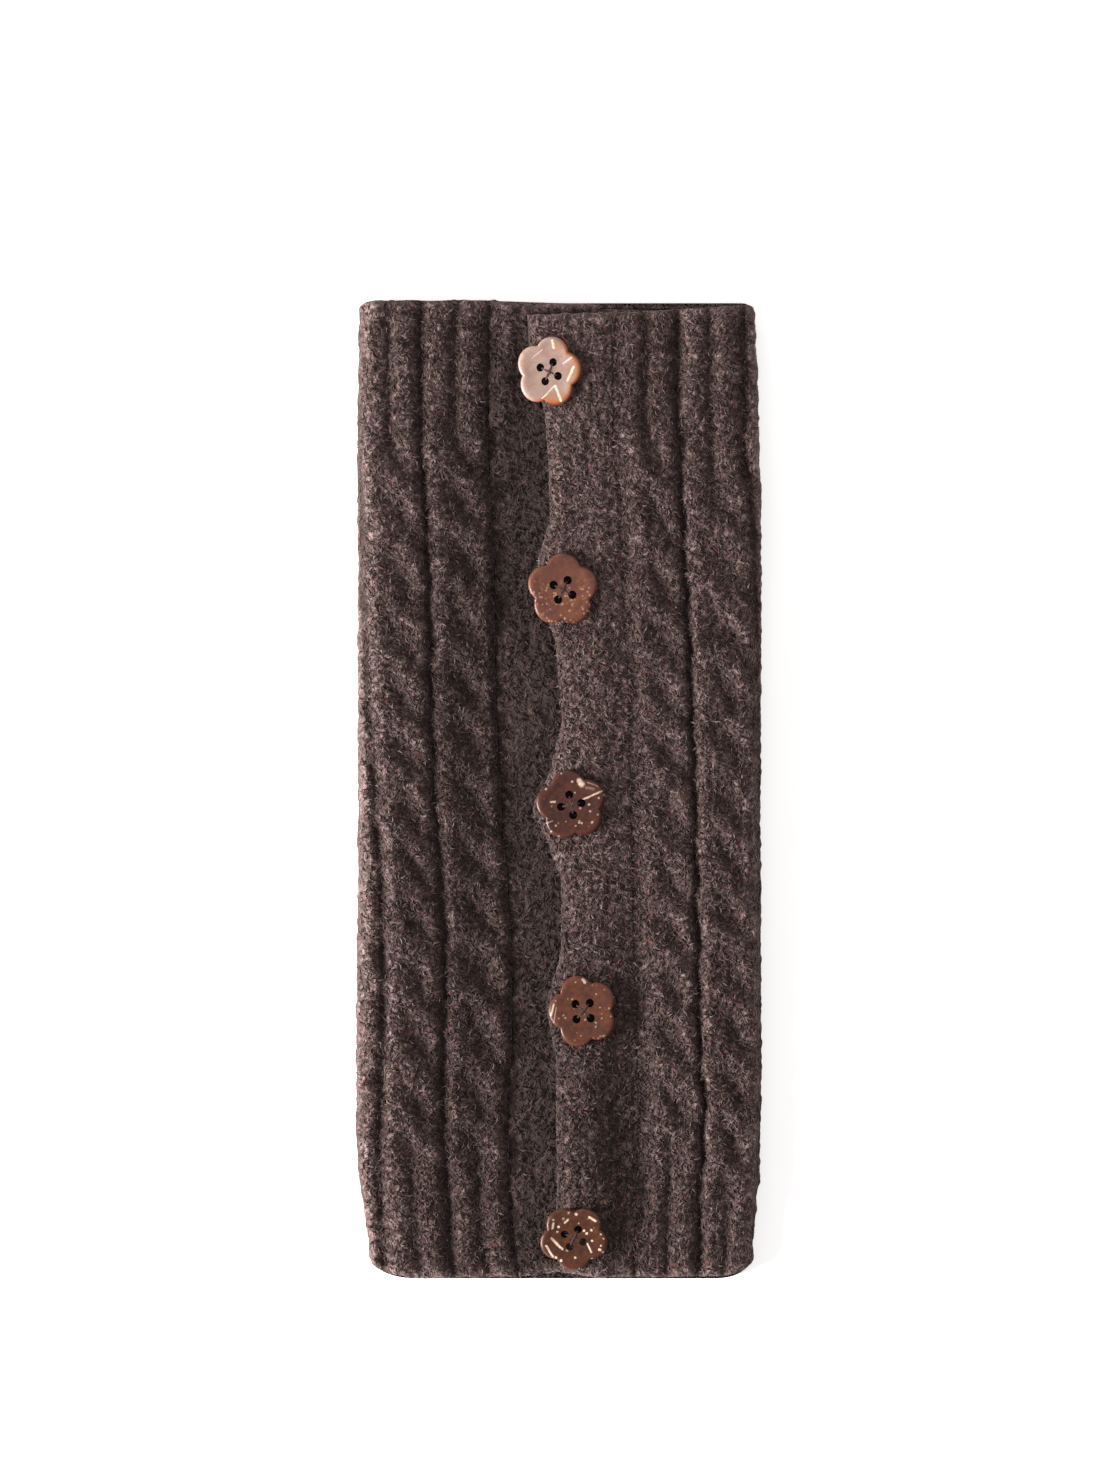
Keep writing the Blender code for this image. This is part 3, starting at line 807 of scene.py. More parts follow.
@dataclass(frozen=True)
class WoolFibre:
    """The loose fibres that stand off the cloth, from brown to pale with a few red and ochre ones."""

    dark: Colour = (0.056, 0.0368, 0.0334)
    middle: Colour = (0.095, 0.0640, 0.0597)
    pale: Colour = (0.152, 0.114, 0.110)
    red: Colour = (0.15, 0.060, 0.064)
    ochre: Colour = (0.145, 0.112, 0.080)
    shadow: Colour = (0.0120, 0.0078, 0.0068)
    shares: tuple[float, ...] = (0.0, 0.42, 0.80, 0.945, 0.975)
    painted_shade_amount: float = 0.78

    def material(self) -> bpy.types.Material:
        """Builds the finish for the fuzz."""
        work = NodeWork("wool_fibre")
        stops = list(zip(self.shares, (self.dark, self.middle, self.pale, self.red, self.ochre)))
        settings = {"stops": stops, "blend": "CONSTANT"}
        colour = work.node("ShaderNodeValToRGB", settings, {"Fac": work.attribute("tone")}, "Color")
        # Painted shade: each fibre takes the shade painted on the cloth under it
        colour = work.mixed(work.attribute("hollow") * self.painted_shade_amount, colour, self.shadow)
        return work.finish(Base_Color=colour, Roughness=0.9, Specular_IOR_Level=0.15)


class Vein(NamedTuple):
    """A pale streak in a button's shell, from one end to the other, measured from the button's middle."""

    x: float
    y: float
    end_x: float
    end_y: float
    width: float
    strength: float


@dataclass(frozen=True)
class PolishedShell:
    """A polished button cut from shell: its ground colours, its pale flecks and veins, and its brown edge,
    kept to one side as painted shade with a painted glint inside it.
    """

    name: str
    ground: Colour
    dark: Colour
    pale: Colour
    rim: Colour
    rim_shade_amount: float
    fleck_spacing: float
    fleck_size: float
    fleck_amount: float
    fleck_top: float = 20.0
    fleck_fade: float = 7.0
    veins: tuple[Vein, ...] = ()
    stains: tuple[Vein, ...] = ()
    stain: Colour = (0.42, 0.21, 0.115)
    rim_glint: float = 2.6
    cloud_size: float = 4.5
    mottle_size: float = 1.3
    crowd_size: float = 4.0
    grain_size: float = 0.5
    grain_depth: float = 0.03
    bend_size: float = 2.2
    bend_reach: float = 0.5
    wear_size: float = 0.9

    def vein(self, work: NodeWork, spot: Sock, vein: Vein) -> Sock:
        """1 along a vein and 0 away from it, with ragged edges."""
        start = (vein.x, vein.y, 0.0)
        span = (vein.end_x - vein.x, vein.end_y - vein.y, 0.0)
        length = max(vein.width, math.hypot(*span))
        direction = tuple(c / length for c in span)
        away = work.vector("SUBTRACT", spot, start)
        nearest = work.scaled(direction, work.dot(away, direction).clamped(0.0, length))
        distance = work.length(work.vector("SUBTRACT", away, nearest))
        worn = work.noise(spot, self.wear_size).between(0.25, 0.6) * 0.5 + 0.5
        return (1.0 - distance.between(0.35 * vein.width, 1.1 * vein.width)) * worn * vein.strength

    def material(self, x: float, y: float) -> bpy.types.Material:
        """Builds the finish for one button.

        Args:
            x: the button's middle across, in millimetres.
            y: the button's middle along, in millimetres.

        Returns:
            The finish.
        """
        work = NodeWork(self.name)
        point = work.place()
        level = work.vector("MULTIPLY", point, (1.0, 1.0, 0.0))
        spot = work.vector("SUBTRACT", level, (x, y, 0.0))
        cloud = work.noise(point, self.cloud_size, 3.0, 0.6).between(0.35, 0.65)
        mottle = work.noise(point, self.mottle_size, 2.0, 0.6).between(0.4, 0.6)
        body = work.mixed(cloud * 0.5 + mottle * 0.5, self.dark, self.ground)
        bent = work.vector("ADD", spot, work.wander(point, self.bend_size, self.bend_reach))
        for patch in self.stains:
            body = work.mixed(self.vein(work, bent, patch), body, self.stain)
        # Painted shade and glint: the edge's brown lies only on the side turned from the key light, with a
        # brighter painted glint just inside it
        edge = work.attribute("rim")
        glow = tuple(self.rim_glint * c for c in self.rim)
        body = work.mixed(edge.between(0.0, 0.45) * self.rim_shade_amount, body, glow)
        body = work.mixed(edge.between(0.5, 0.95) * self.rim_shade_amount, body, self.rim)
        spacing = {"Vector": level, "Scale": 1.0 / self.fleck_spacing}
        cells = work.node("ShaderNodeTexVoronoi", {}, spacing, "Distance")
        share = self.fleck_size / self.fleck_spacing
        crowd = work.noise(level, self.crowd_size).between(0.38, 0.54)
        height = work.dot(spot, (0.0, 1.0, 0.0))
        crowd = crowd * (1.0 - height.between(self.fleck_top - self.fleck_fade, self.fleck_top))
        fleck = (1.0 - cells.between(0.5 * share, share)) * crowd * self.fleck_amount
        body = work.mixed(fleck, body, self.pale)
        for vein in self.veins:
            body = work.mixed(self.vein(work, bent, vein), body, self.pale)
        grain = work.noise(point, self.grain_size, 2.0, 0.6)
        return work.finish(
            Base_Color=body,
            Roughness=0.26 + grain * 0.2,
            Specular_IOR_Level=0.35,
            Normal=work.bump(grain, self.grain_depth),
        )


@dataclass(frozen=True)
class SewingThread:
    """Dull mauve-brown thread."""

    name: str = "mauve_thread"
    colour: Colour = (0.085, 0.040, 0.043)
    shadow: Colour = (0.004, 0.003, 0.003)
    twist_size: float = 0.625
    twist_shade: float = 0.6
    twist_depth: float = 0.08

    def material(self) -> bpy.types.Material:
        """Builds the finish for the sewing thread."""
        work = NodeWork(self.name)
        values = {"Vector": work.place(), "Scale": 1.0 / self.twist_size, "Distortion": 1.5}
        twist = work.node("ShaderNodeTexWave", {}, values, "Fac")
        colour = work.mixed(twist, tuple(self.twist_shade * c for c in self.colour), self.colour)
        # Painted shadow: points marked deep, the plugs in the button's holes, take the near-black shadow
        # colour
        colour = work.mixed(work.attribute("deep"), colour, self.shadow)
        return work.finish(Base_Color=colour, Roughness=0.8, Normal=work.bump(twist, self.twist_depth))


@dataclass(frozen=True)
class PaleFloor:
    """A plain matt white table."""

    colour: Colour = (0.93, 0.93, 0.93)
    glow: float = 0.55

    def material(self) -> bpy.types.Material:
        """Builds the finish for the floor."""
        work = NodeWork("pale_floor")
        return work.finish(
            Base_Color=(*self.colour, 1.0),
            Roughness=0.9,
            Specular_IOR_Level=0.1,
            Emission_Color=(1.0, 1.0, 1.0, 1.0),
            Emission_Strength=self.glow,
        )


def on_front(points: Array) -> Array:
    """1 where a fibre may stand on the front, and 0 on the back and by the folds, whose outline is smooth."""
    x, y, z = points.T
    inward = np.minimum(x - across(SECTIONS, y, Side.LEFT.value), across(SECTIONS, y, Side.RIGHT.value) - x)
    return ((inward > FIBRE_MARGIN) & (z > FIBRE_FLOOR)).astype(float)


@dataclass
class Fuzz:
    """Loose fibres lying over a knitted piece, each a fine bent spindle."""

    name: str
    count: int
    seed: int
    length: tuple[float, float] = (1.5, 3.1)
    thickness: float = 0.70
    stand: tuple[float, float] = (0.024, 0.24)
    upright: float = 0.5
    bend: float = 0.46
    root: float = 0.12
    bare_rows: int = 4

    def spindle(self) -> tuple[Array, Array]:
        """The points and faces of one fibre: a ring of three between two points a unit apart along Z."""
        bm = bmesh.new()
        for depth, place in ((0.5, 0.75), (-0.5, 0.25)):
            made = bmesh.ops.create_cone(
                bm, cap_ends=False, segments=3, radius1=1.0, radius2=0.0, depth=abs(depth)
            )
            if depth < 0.0:
                bmesh.ops.scale(bm, verts=made["verts"], vec=(1.0, 1.0, -1.0))
            bmesh.ops.translate(bm, verts=made["verts"], vec=(0.0, 0.0, place))
        bmesh.ops.remove_doubles(bm, verts=bm.verts, dist=1e-5)
        bmesh.ops.triangulate(bm, faces=bm.faces)
        bmesh.ops.recalc_face_normals(bm, faces=bm.faces)
        bm.verts.index_update()
        points = np.array([vert.co for vert in bm.verts])
        faces = np.array([[vert.index for vert in face.verts] for face in bm.faces])
        bm.free()
        return points, faces

    def places(self, cloth: Cloth, normals: Array, rng: np.random.Generator) -> tuple[Array, Array]:
        """The row and column of the cell of cloth that each fibre stands in, more of them in larger cells."""
        rows, columns = cloth.points.shape[:2]
        steps = np.linalg.norm(np.diff(cloth.points, axis=1), axis=2)[: rows - 1]
        tall = np.linalg.norm(np.diff(cloth.points, axis=0), axis=2)[:, : columns - 1]
        area = (steps * tall).ravel()
        area *= on_front(cloth.points[: rows - 1, : columns - 1].reshape(-1, 3))
        area *= normals[: rows - 1, : columns - 1, 2].ravel() > self.upright
        row = np.repeat(np.arange(rows - 1), columns - 1)
        area *= (row >= self.bare_rows) & (row < rows - 1 - self.bare_rows)
        cells = rng.choice(len(area), self.count, p=area / area.sum())
        return np.divmod(cells, columns - 1)

    def build(self, cloth: Cloth, finish: bpy.types.Material) -> bpy.types.Object:
        """Scatters the fibres over a cloth.

        Args:
            cloth: the grid that they stand on.
            finish: their material.

        Returns:
            The piece that holds them all.
        """
        rng = np.random.default_rng(self.seed)
        normals = cloth.normals()
        row, column = self.places(cloth, normals, rng)
        s, t = rng.random((2, self.count, 1))
        corner = cloth.points[row, column]
        beside, below = cloth.points[row, column + 1], cloth.points[row + 1, column]
        base = corner + s * (beside - corner) + t * (below - corner)
        normal = normals[row, column]
        loose = rng.normal(size=(self.count, 3))
        loose -= (loose * normal).sum(1, keepdims=True) * normal
        loose /= np.linalg.norm(loose, axis=1, keepdims=True)
        lift = rng.uniform(*self.stand, (self.count, 1))
        along = loose + lift * normal
        along /= np.linalg.norm(along, axis=1, keepdims=True)
        flat = np.cross(along, normal)
        flat /= np.linalg.norm(flat, axis=1, keepdims=True)
        side = flat * rng.choice((-1.0, 1.0), (self.count, 1))
        other = np.cross(along, side)
        long = rng.uniform(*self.length, (self.count, 1, 1))
        points, faces = self.spindle()
        radius = self.thickness * 0.5
        points[:, 0] += self.bend / radius * (np.abs(points[:, 2] - 0.5) < 0.25)
        shape = (
            (base - self.root * normal)[:, None]
            + points[None, :, 0:1] * radius * side[:, None]
            + points[None, :, 1:2] * radius * other[:, None]
            + points[None, :, 2:3] * long * along[:, None]
        )
        joined = faces[None] + (np.arange(self.count) * len(points))[:, None, None]
        mesh = bpy.data.meshes.new(self.name)
        mesh.from_pydata((shape.reshape(-1, 3) * MM).tolist(), [], joined.reshape(-1, 3).tolist())
        store(mesh, "tone", np.repeat(rng.random(self.count), len(points)))
        store(mesh, "hollow", np.repeat(cloth.hollow[row, column], len(points)))
        return add_piece(self.name, mesh, finish)


@dataclass
class KnitPiece:
    """What the knitted pieces share: their form and how finely their surface is made."""

    form: KnitForm
    finish: bpy.types.Material
    step: float = 0.6
    row_step: float = 0.68
    length: float = 319.6
    hem_rows: tuple[float, ...] = (0.0, 0.12, 0.35, 0.65)
    hem_paleness: float = 0.35
    relief_shading_blur: int = 6
    relief_shading_depth: float = 0.9
    painted_shade_blur: int = 60
    painted_shade_depth: float = 4.0
    level_shade: float = 0.25

    def row_distances(self, length: float) -> Array:
        """Distances from the top hem, close together near both hems."""
        hem = self.form.hem_round
        ends = np.array(self.hem_rows) * hem
        count = round(self.length / self.row_step)
        middle = np.linspace(hem, length - hem, count)
        return np.concatenate((ends, middle, length - ends[::-1]))

    def hem_light(self, from_hem: Array) -> Array:
        """How much paler the wool is made along a hem's rolled edge."""
        return self.hem_paleness * np.exp(-((from_hem / self.form.hem_round) ** 2))

    def textured(self, cloth: Cloth, amount: float, furrow: float) -> None:
        """Raises stitches and small lumps in the outside, paints shade into the furrows and hollows between
        and paints light onto the raised parts.

        Args:
            cloth: the grid to work on.
            amount: the height of the stitches, in millimetres.
            furrow: how much more shade is painted between two columns of stitches than along them.
        """
        x, y = cloth.points[..., 0], cloth.points[..., 1]
        cloth.raised(amount * self.form.stitch(cloth.wale, cloth.course) + layered(FELTING, x, y))
        z = cloth.points[..., 2]
        # Painted light on points above their neighbours and painted shade on points below them
        cloth.pile = np.clip(0.5 + (z - blurred(z, self.relief_shading_blur)) / self.relief_shading_depth, 0.0, 1.0)
        # Painted shade in the furrows between columns, a little everywhere, and where the cloth lies below
        # its wider surroundings
        shade = cloth.hollow + furrow * (self.form.gap(cloth.wale) - 0.25) + self.level_shade
        cloth.hollow = np.clip(shade + (blurred(z, self.painted_shade_blur) - z) / self.painted_shade_depth, 0.0, 1.0)


@dataclass
class CablePanel(KnitPiece):
    """The knitted body from the left front round the back to the right front."""

    fold_steps: int = 12
    under_shares: tuple[float, ...] = (0.02, 0.08, 0.2, 0.4, 0.7, 1.0)
    under_columns: int = 8
    softening: int = 6
    inside_every: int = 24
    stitch_height: float = 0.12
    furrow: float = 0.1

    def column_x(self, y: Array, side: Side, part: float, inward: float) -> Array:
        """A lengthwise line: a part of the way from the band's seam to the fold, or in from the fold."""
        seam_name = "button_band_seam" if side is Side.LEFT else "buttonhole_band_seam"
        sign = 1.0 if side is Side.LEFT else -1.0
        fold = self.form.line(side.value, y) + layered(FOLD_DRIFT, np.zeros_like(y), y)
        if inward >= 0.0:
            return fold + sign * inward
        seam = self.form.line(seam_name, y)
        return seam + part * (fold + sign * self.form.fold_reach - seam)

    def hem_end(self, side: Side, part: float, inward: float, front: bool, top: bool) -> float:
        """The height at which a lengthwise line ends."""
        form = self.form
        y = np.array([SECTIONS[0].y if top else SECTIONS[-1].y])
        x = self.column_x(y, side, part, inward)
        from_fold = float(abs(form.line(side.value, y) - x)[0])
        level = form.back_top if top else form.back_bottom
        hems = (LEFT_TOP_HEM, LEFT_BOTTOM_HEM) if side is Side.LEFT else (RIGHT_TOP_HEM, RIGHT_BOTTOM_HEM)
        end = level
        if front:
            rise = float(along_hem(hems[0 if top else 1], x)[0] - level)
            end += rise * float(smooth(from_fold / form.fold_reach))
        reach, depth = (form.top_corners if top else form.bottom_corners)[side is Side.RIGHT]
        drawn = depth * (1.0 - float(rounded(from_fold / reach)))
        return end - drawn if top else end + drawn

    def line(self, side: Side, part: float, inward: float, front: bool) -> KnitLine:
        """One lengthwise line.

        Args:
            side: the half of the panel that it is in.
            part: how far it is from the band's seam to the fold, for a line on the front.
            inward: how far it is in from the fold instead, in millimetres, or less than 0.
            front: whether it is on the front rather than the underside.

        Returns:
            The line, from the top hem down.
        """
        form, right = self.form, side is Side.RIGHT
        top = self.hem_end(side, part, inward, front, True)
        bottom = self.hem_end(side, part, inward, front, False)
        distance = self.row_distances(top - bottom)
        y = top - distance
        x = self.column_x(y, side, part, inward)
        fold = form.line(side.value, y)
        from_fold = np.abs(fold - x)
        reach = form.fold_reach if front else form.under_fold_reach
        near = np.clip(from_fold / reach, 0.0, 1.0)
        if front:
            relief, wale, groove = form.relief(x, y)
            ground = np.full_like(x, form.groove_wall)
            if right:
                from_seam = x - form.line("buttonhole_band_seam", y)
                ground += (form.band_wall - form.groove_wall) * (1.0 - smooth(from_seam / form.band_fade))
                relief *= smooth(from_seam / form.seam_blend)
            level = form.inside(x, right)
            outer = level + ground + relief + form.swell(x, y)
            outer = form.fold_middle + (outer - form.fold_middle) * rounded(near)
            # Painted shade from the spots table and along the sunken lines between cables
            hollow = bumps(PAINTED_SHADE_SPOTS, x, y) + form.groove_shade * groove
        else:
            level = np.full_like(x, form.back_wall)
            outer = form.fold_middle * (1.0 - rounded(near))
            wale, hollow = x / form.wale, np.zeros_like(x)
        inner_z = form.fold_middle + (level - form.fold_middle) * rounded(near)
        inner_x = x + np.sign(-fold) * form.side_wall * (1.0 - near)
        from_hem = np.minimum(distance, top - bottom - distance)
        hollow -= self.hem_light(from_hem)
        outer = inner_z + (outer - inner_z) * form.hem_share(from_hem)
        points = np.stack((x, y, outer), axis=1)
        inside = np.stack((inner_x, y, inner_z), axis=1)
        return KnitLine(points, inside, wale, y / form.course, hollow)

    def front_lines(self, side: Side) -> list[tuple[Side, float, float, bool]]:
        """The lengthwise lines of one side, from the band's seam round the fold to the back."""
        form = self.form
        seam = SECTIONS[0].button_band_seam if side is Side.LEFT else SECTIONS[0].buttonhole_band_seam
        width = abs(getattr(SECTIONS[0], side.value) - seam) - form.fold_reach
        count = round(width / self.step)
        lines = [(side, i / count, -1.0, True) for i in range(count + 1)]
        for i in range(1, self.fold_steps + 1):
            turned = math.sin(0.5 * math.pi * i / self.fold_steps)
            lines.append((side, 0.0, form.fold_reach * (1.0 - turned), True))
        under = [form.under_fold_reach * share for share in self.under_shares]
        reach = form.bottom_corners[0][0]
        under += list(np.linspace(form.under_fold_reach, reach, self.under_columns + 1)[1:])
        return lines + [(side, 0.0, inward, False) for inward in under]

    def build(self) -> tuple[bpy.types.Object, Cloth]:
        """Makes the panel and returns it with the grid of its outside."""
        left, right = self.front_lines(Side.LEFT), self.front_lines(Side.RIGHT)
        lines = left + right[::-1]
        cloth, inner = gathered([self.line(*spec) for spec in lines])
        front = np.array([spec[3] for spec in lines])
        under = len(self.under_shares) + self.under_columns
        for columns in (slice(0, len(left) - under), slice(len(left) + under, len(lines))):
            cloth.points[:, columns, 2] = blurred(cloth.points[:, columns, 2], self.softening)
        plain = cloth.points[:, ~front].copy()
        self.textured(cloth, self.stitch_height, self.furrow)
        cloth.points[:, ~front] = plain
        last = len(lines) - 1
        kept = [i for i in range(len(lines)) if i % self.inside_every == 0 or not front[i] or i == last]
        mesh = tube_mesh("cable_panel_knit", cloth, inner[:, kept[::-1]])
        piece = add_piece("cable_panel_knit", mesh, self.finish)
        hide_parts("cable_panel")
        return piece, cloth


@dataclass
class Band(KnitPiece):
    """A plain knitted band beside the front opening."""

    name: str = "button_band_knit"
    node: str = "button_band"
    over: bool = False
    edge_lines: tuple[float, ...] = (0.0, 0.08, 0.25, 0.6, 1.1, 1.7, 2.3)
    edge_width: float = 3.0
    stepped_width: float = 24.0
    stitch_height: float = 0.22
    furrow: float = 0.3
    free_edge_round: float = 5.0
    free_edge_share: float = 0.2
    seam_round: float = 2.4
    rib_height: float = 0.7
    rib_place: float = 5.0
    rib_reach: float = 3.0
    shade_reach: float = 11.5
    shade_shift: float = 2.0

    def start(self, y: Array) -> Array:
        """The band's left edge."""
        if self.over:
            return across(BAND_EDGE, y, "x")
        return self.form.line("button_band_seam", y) + self.form.closed_seam

    def end(self, y: Array) -> Array:
        """The band's right edge."""
        if self.over:
            return self.form.line("buttonhole_band_seam", y) - self.form.closed_seam
        return np.full_like(y, self.form.button_band_edge)

    def upper(self, x: Array, y: Array, level: Array) -> tuple[Array, Array]:
        """The outside of the band on top, which rounds down to its free edge, and its painted shade.

        Args:
            x: places across, in millimetres.
            y: places along, in millimetres.
            level: the height of the inside.

        Returns:
            The height of the outside, and the shade painted into the wool, painted light where below 0.
        """
        from_edge = x - self.start(y)
        wall = self.free_edge_share + (1.0 - self.free_edge_share) * rounded(from_edge / self.free_edge_round)
        outer = level + self.form.band_wall * wall + self.form.swell(x, y)
        # Painted shade along the free edge, and painted light over the band's upper part
        hollow = 0.6 * np.exp(-((from_edge / 1.8) ** 2)) - 0.34 * smooth((y + 70.0) / 60.0)
        return outer, hollow + bumps(PAINTED_SHADE_SPOTS, x, y)

    def lower(self, x: Array, y: Array, level: Array) -> tuple[Array, Array]:
        """The outside of the band beneath and the shade painted on it where the other one shades it.

        Args:
            x: places across, in millimetres.
            y: places along, in millimetres.
            level: the height of the inside.

        Returns:
            The height of the outside, and the shade painted into the wool.
        """
        form, from_seam = self.form, x - self.start(y)
        seam = rounded(from_seam / self.seam_round)
        edge = rounded((form.button_band_edge - x) / self.seam_round)
        outer = level + form.under_band_wall * (0.6 + 0.2 * seam + 0.2 * edge)
        rib = np.exp(-(((from_seam - self.rib_place) / self.rib_reach) ** 2))
        outer += self.rib_height * rib * smooth((y - 95.0) / 35.0)
        # Painted shadow of the band on top, deepest just under its free edge, over a darker painted base
        shade = np.exp(-(((x - across(BAND_EDGE, y, "x") + self.shade_shift) / self.shade_reach) ** 2))
        deepest = 0.46 + 0.75 * smooth((y - 30.0) / 40.0)
        return outer, 0.28 + deepest * shade * smooth((152.0 - y) / 26.0)

    def line(self, part: float, inset: float) -> KnitLine:
        """One lengthwise line, at a part of the width or at an inset from the left edge."""
        form = self.form
        hems = (RIGHT_TOP_HEM, RIGHT_BOTTOM_HEM) if self.over else (LEFT_TOP_HEM, LEFT_BOTTOM_HEM)
        ends = []
        for y, hem in ((SECTIONS[0].y, hems[0]), (SECTIONS[-1].y, hems[1])):
            x = self.across(np.array([y]), part, inset)
            ends.append(float(along_hem(hem, x)[0]))
        distance = self.row_distances(ends[0] - ends[1])
        y = ends[0] - distance
        x = self.across(y, part, inset)
        level = form.inside(x, self.over)
        outer, hollow = (self.upper if self.over else self.lower)(x, y, level)
        from_hem = np.minimum(distance, ends[0] - ends[1] - distance)
        hollow -= self.hem_light(from_hem)
        outer = level + (outer - level) * form.hem_share(from_hem)
        wale = (x - self.start(y)) / form.wale
        points = np.stack((x, y, outer), axis=1)
        inside = np.stack((x, y, level), axis=1)
        return KnitLine(points, inside, wale, y / form.course, hollow)

    def across(self, y: Array, part: float, inset: float) -> Array:
        """Places at a part of the width beyond the left edge's own lines, or at an inset from that edge."""
        start, end = self.start(y), self.end(y)
        if inset >= 0.0:
            return start + inset
        return start + self.edge_width + part * (end - start - self.edge_width)

    def build(self) -> tuple[bpy.types.Object, Cloth]:
        """Makes the band and returns it with the grid of its outside."""
        lines = [(0.0, inset) for inset in self.edge_lines]
        count = round(self.stepped_width / self.step)
        lines += [(i / count, -1.0) for i in range(count + 1)]
        cloth, inner = gathered([self.line(*spec) for spec in lines])
        self.textured(cloth, self.stitch_height, self.furrow)
        kept = [0, len(lines) // 3, 2 * len(lines) // 3, len(lines) - 1]
        mesh = tube_mesh(self.name, cloth, inner[:, kept[::-1]])
        piece = add_piece(self.name, mesh, self.finish)
        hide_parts(self.node)
        return piece, cloth


# Half a section of a button from its middle out and back, in shares of the radius and the thickness.
BUTTON_PROFILE = (
    (0.0, 0.86),
    (0.2, 0.86),
    (0.42, 0.86),
    (0.6, 0.88),
    (0.72, 0.95),
    (0.82, 1.0),
    (0.9, 0.99),
    (0.955, 0.9),
    (0.988, 0.72),
    (1.0, 0.5),
    (0.985, 0.22),
    (0.94, 0.06),
    (0.86, 0.0),
    (0.4, 0.0),
    (0.0, 0.0),
)


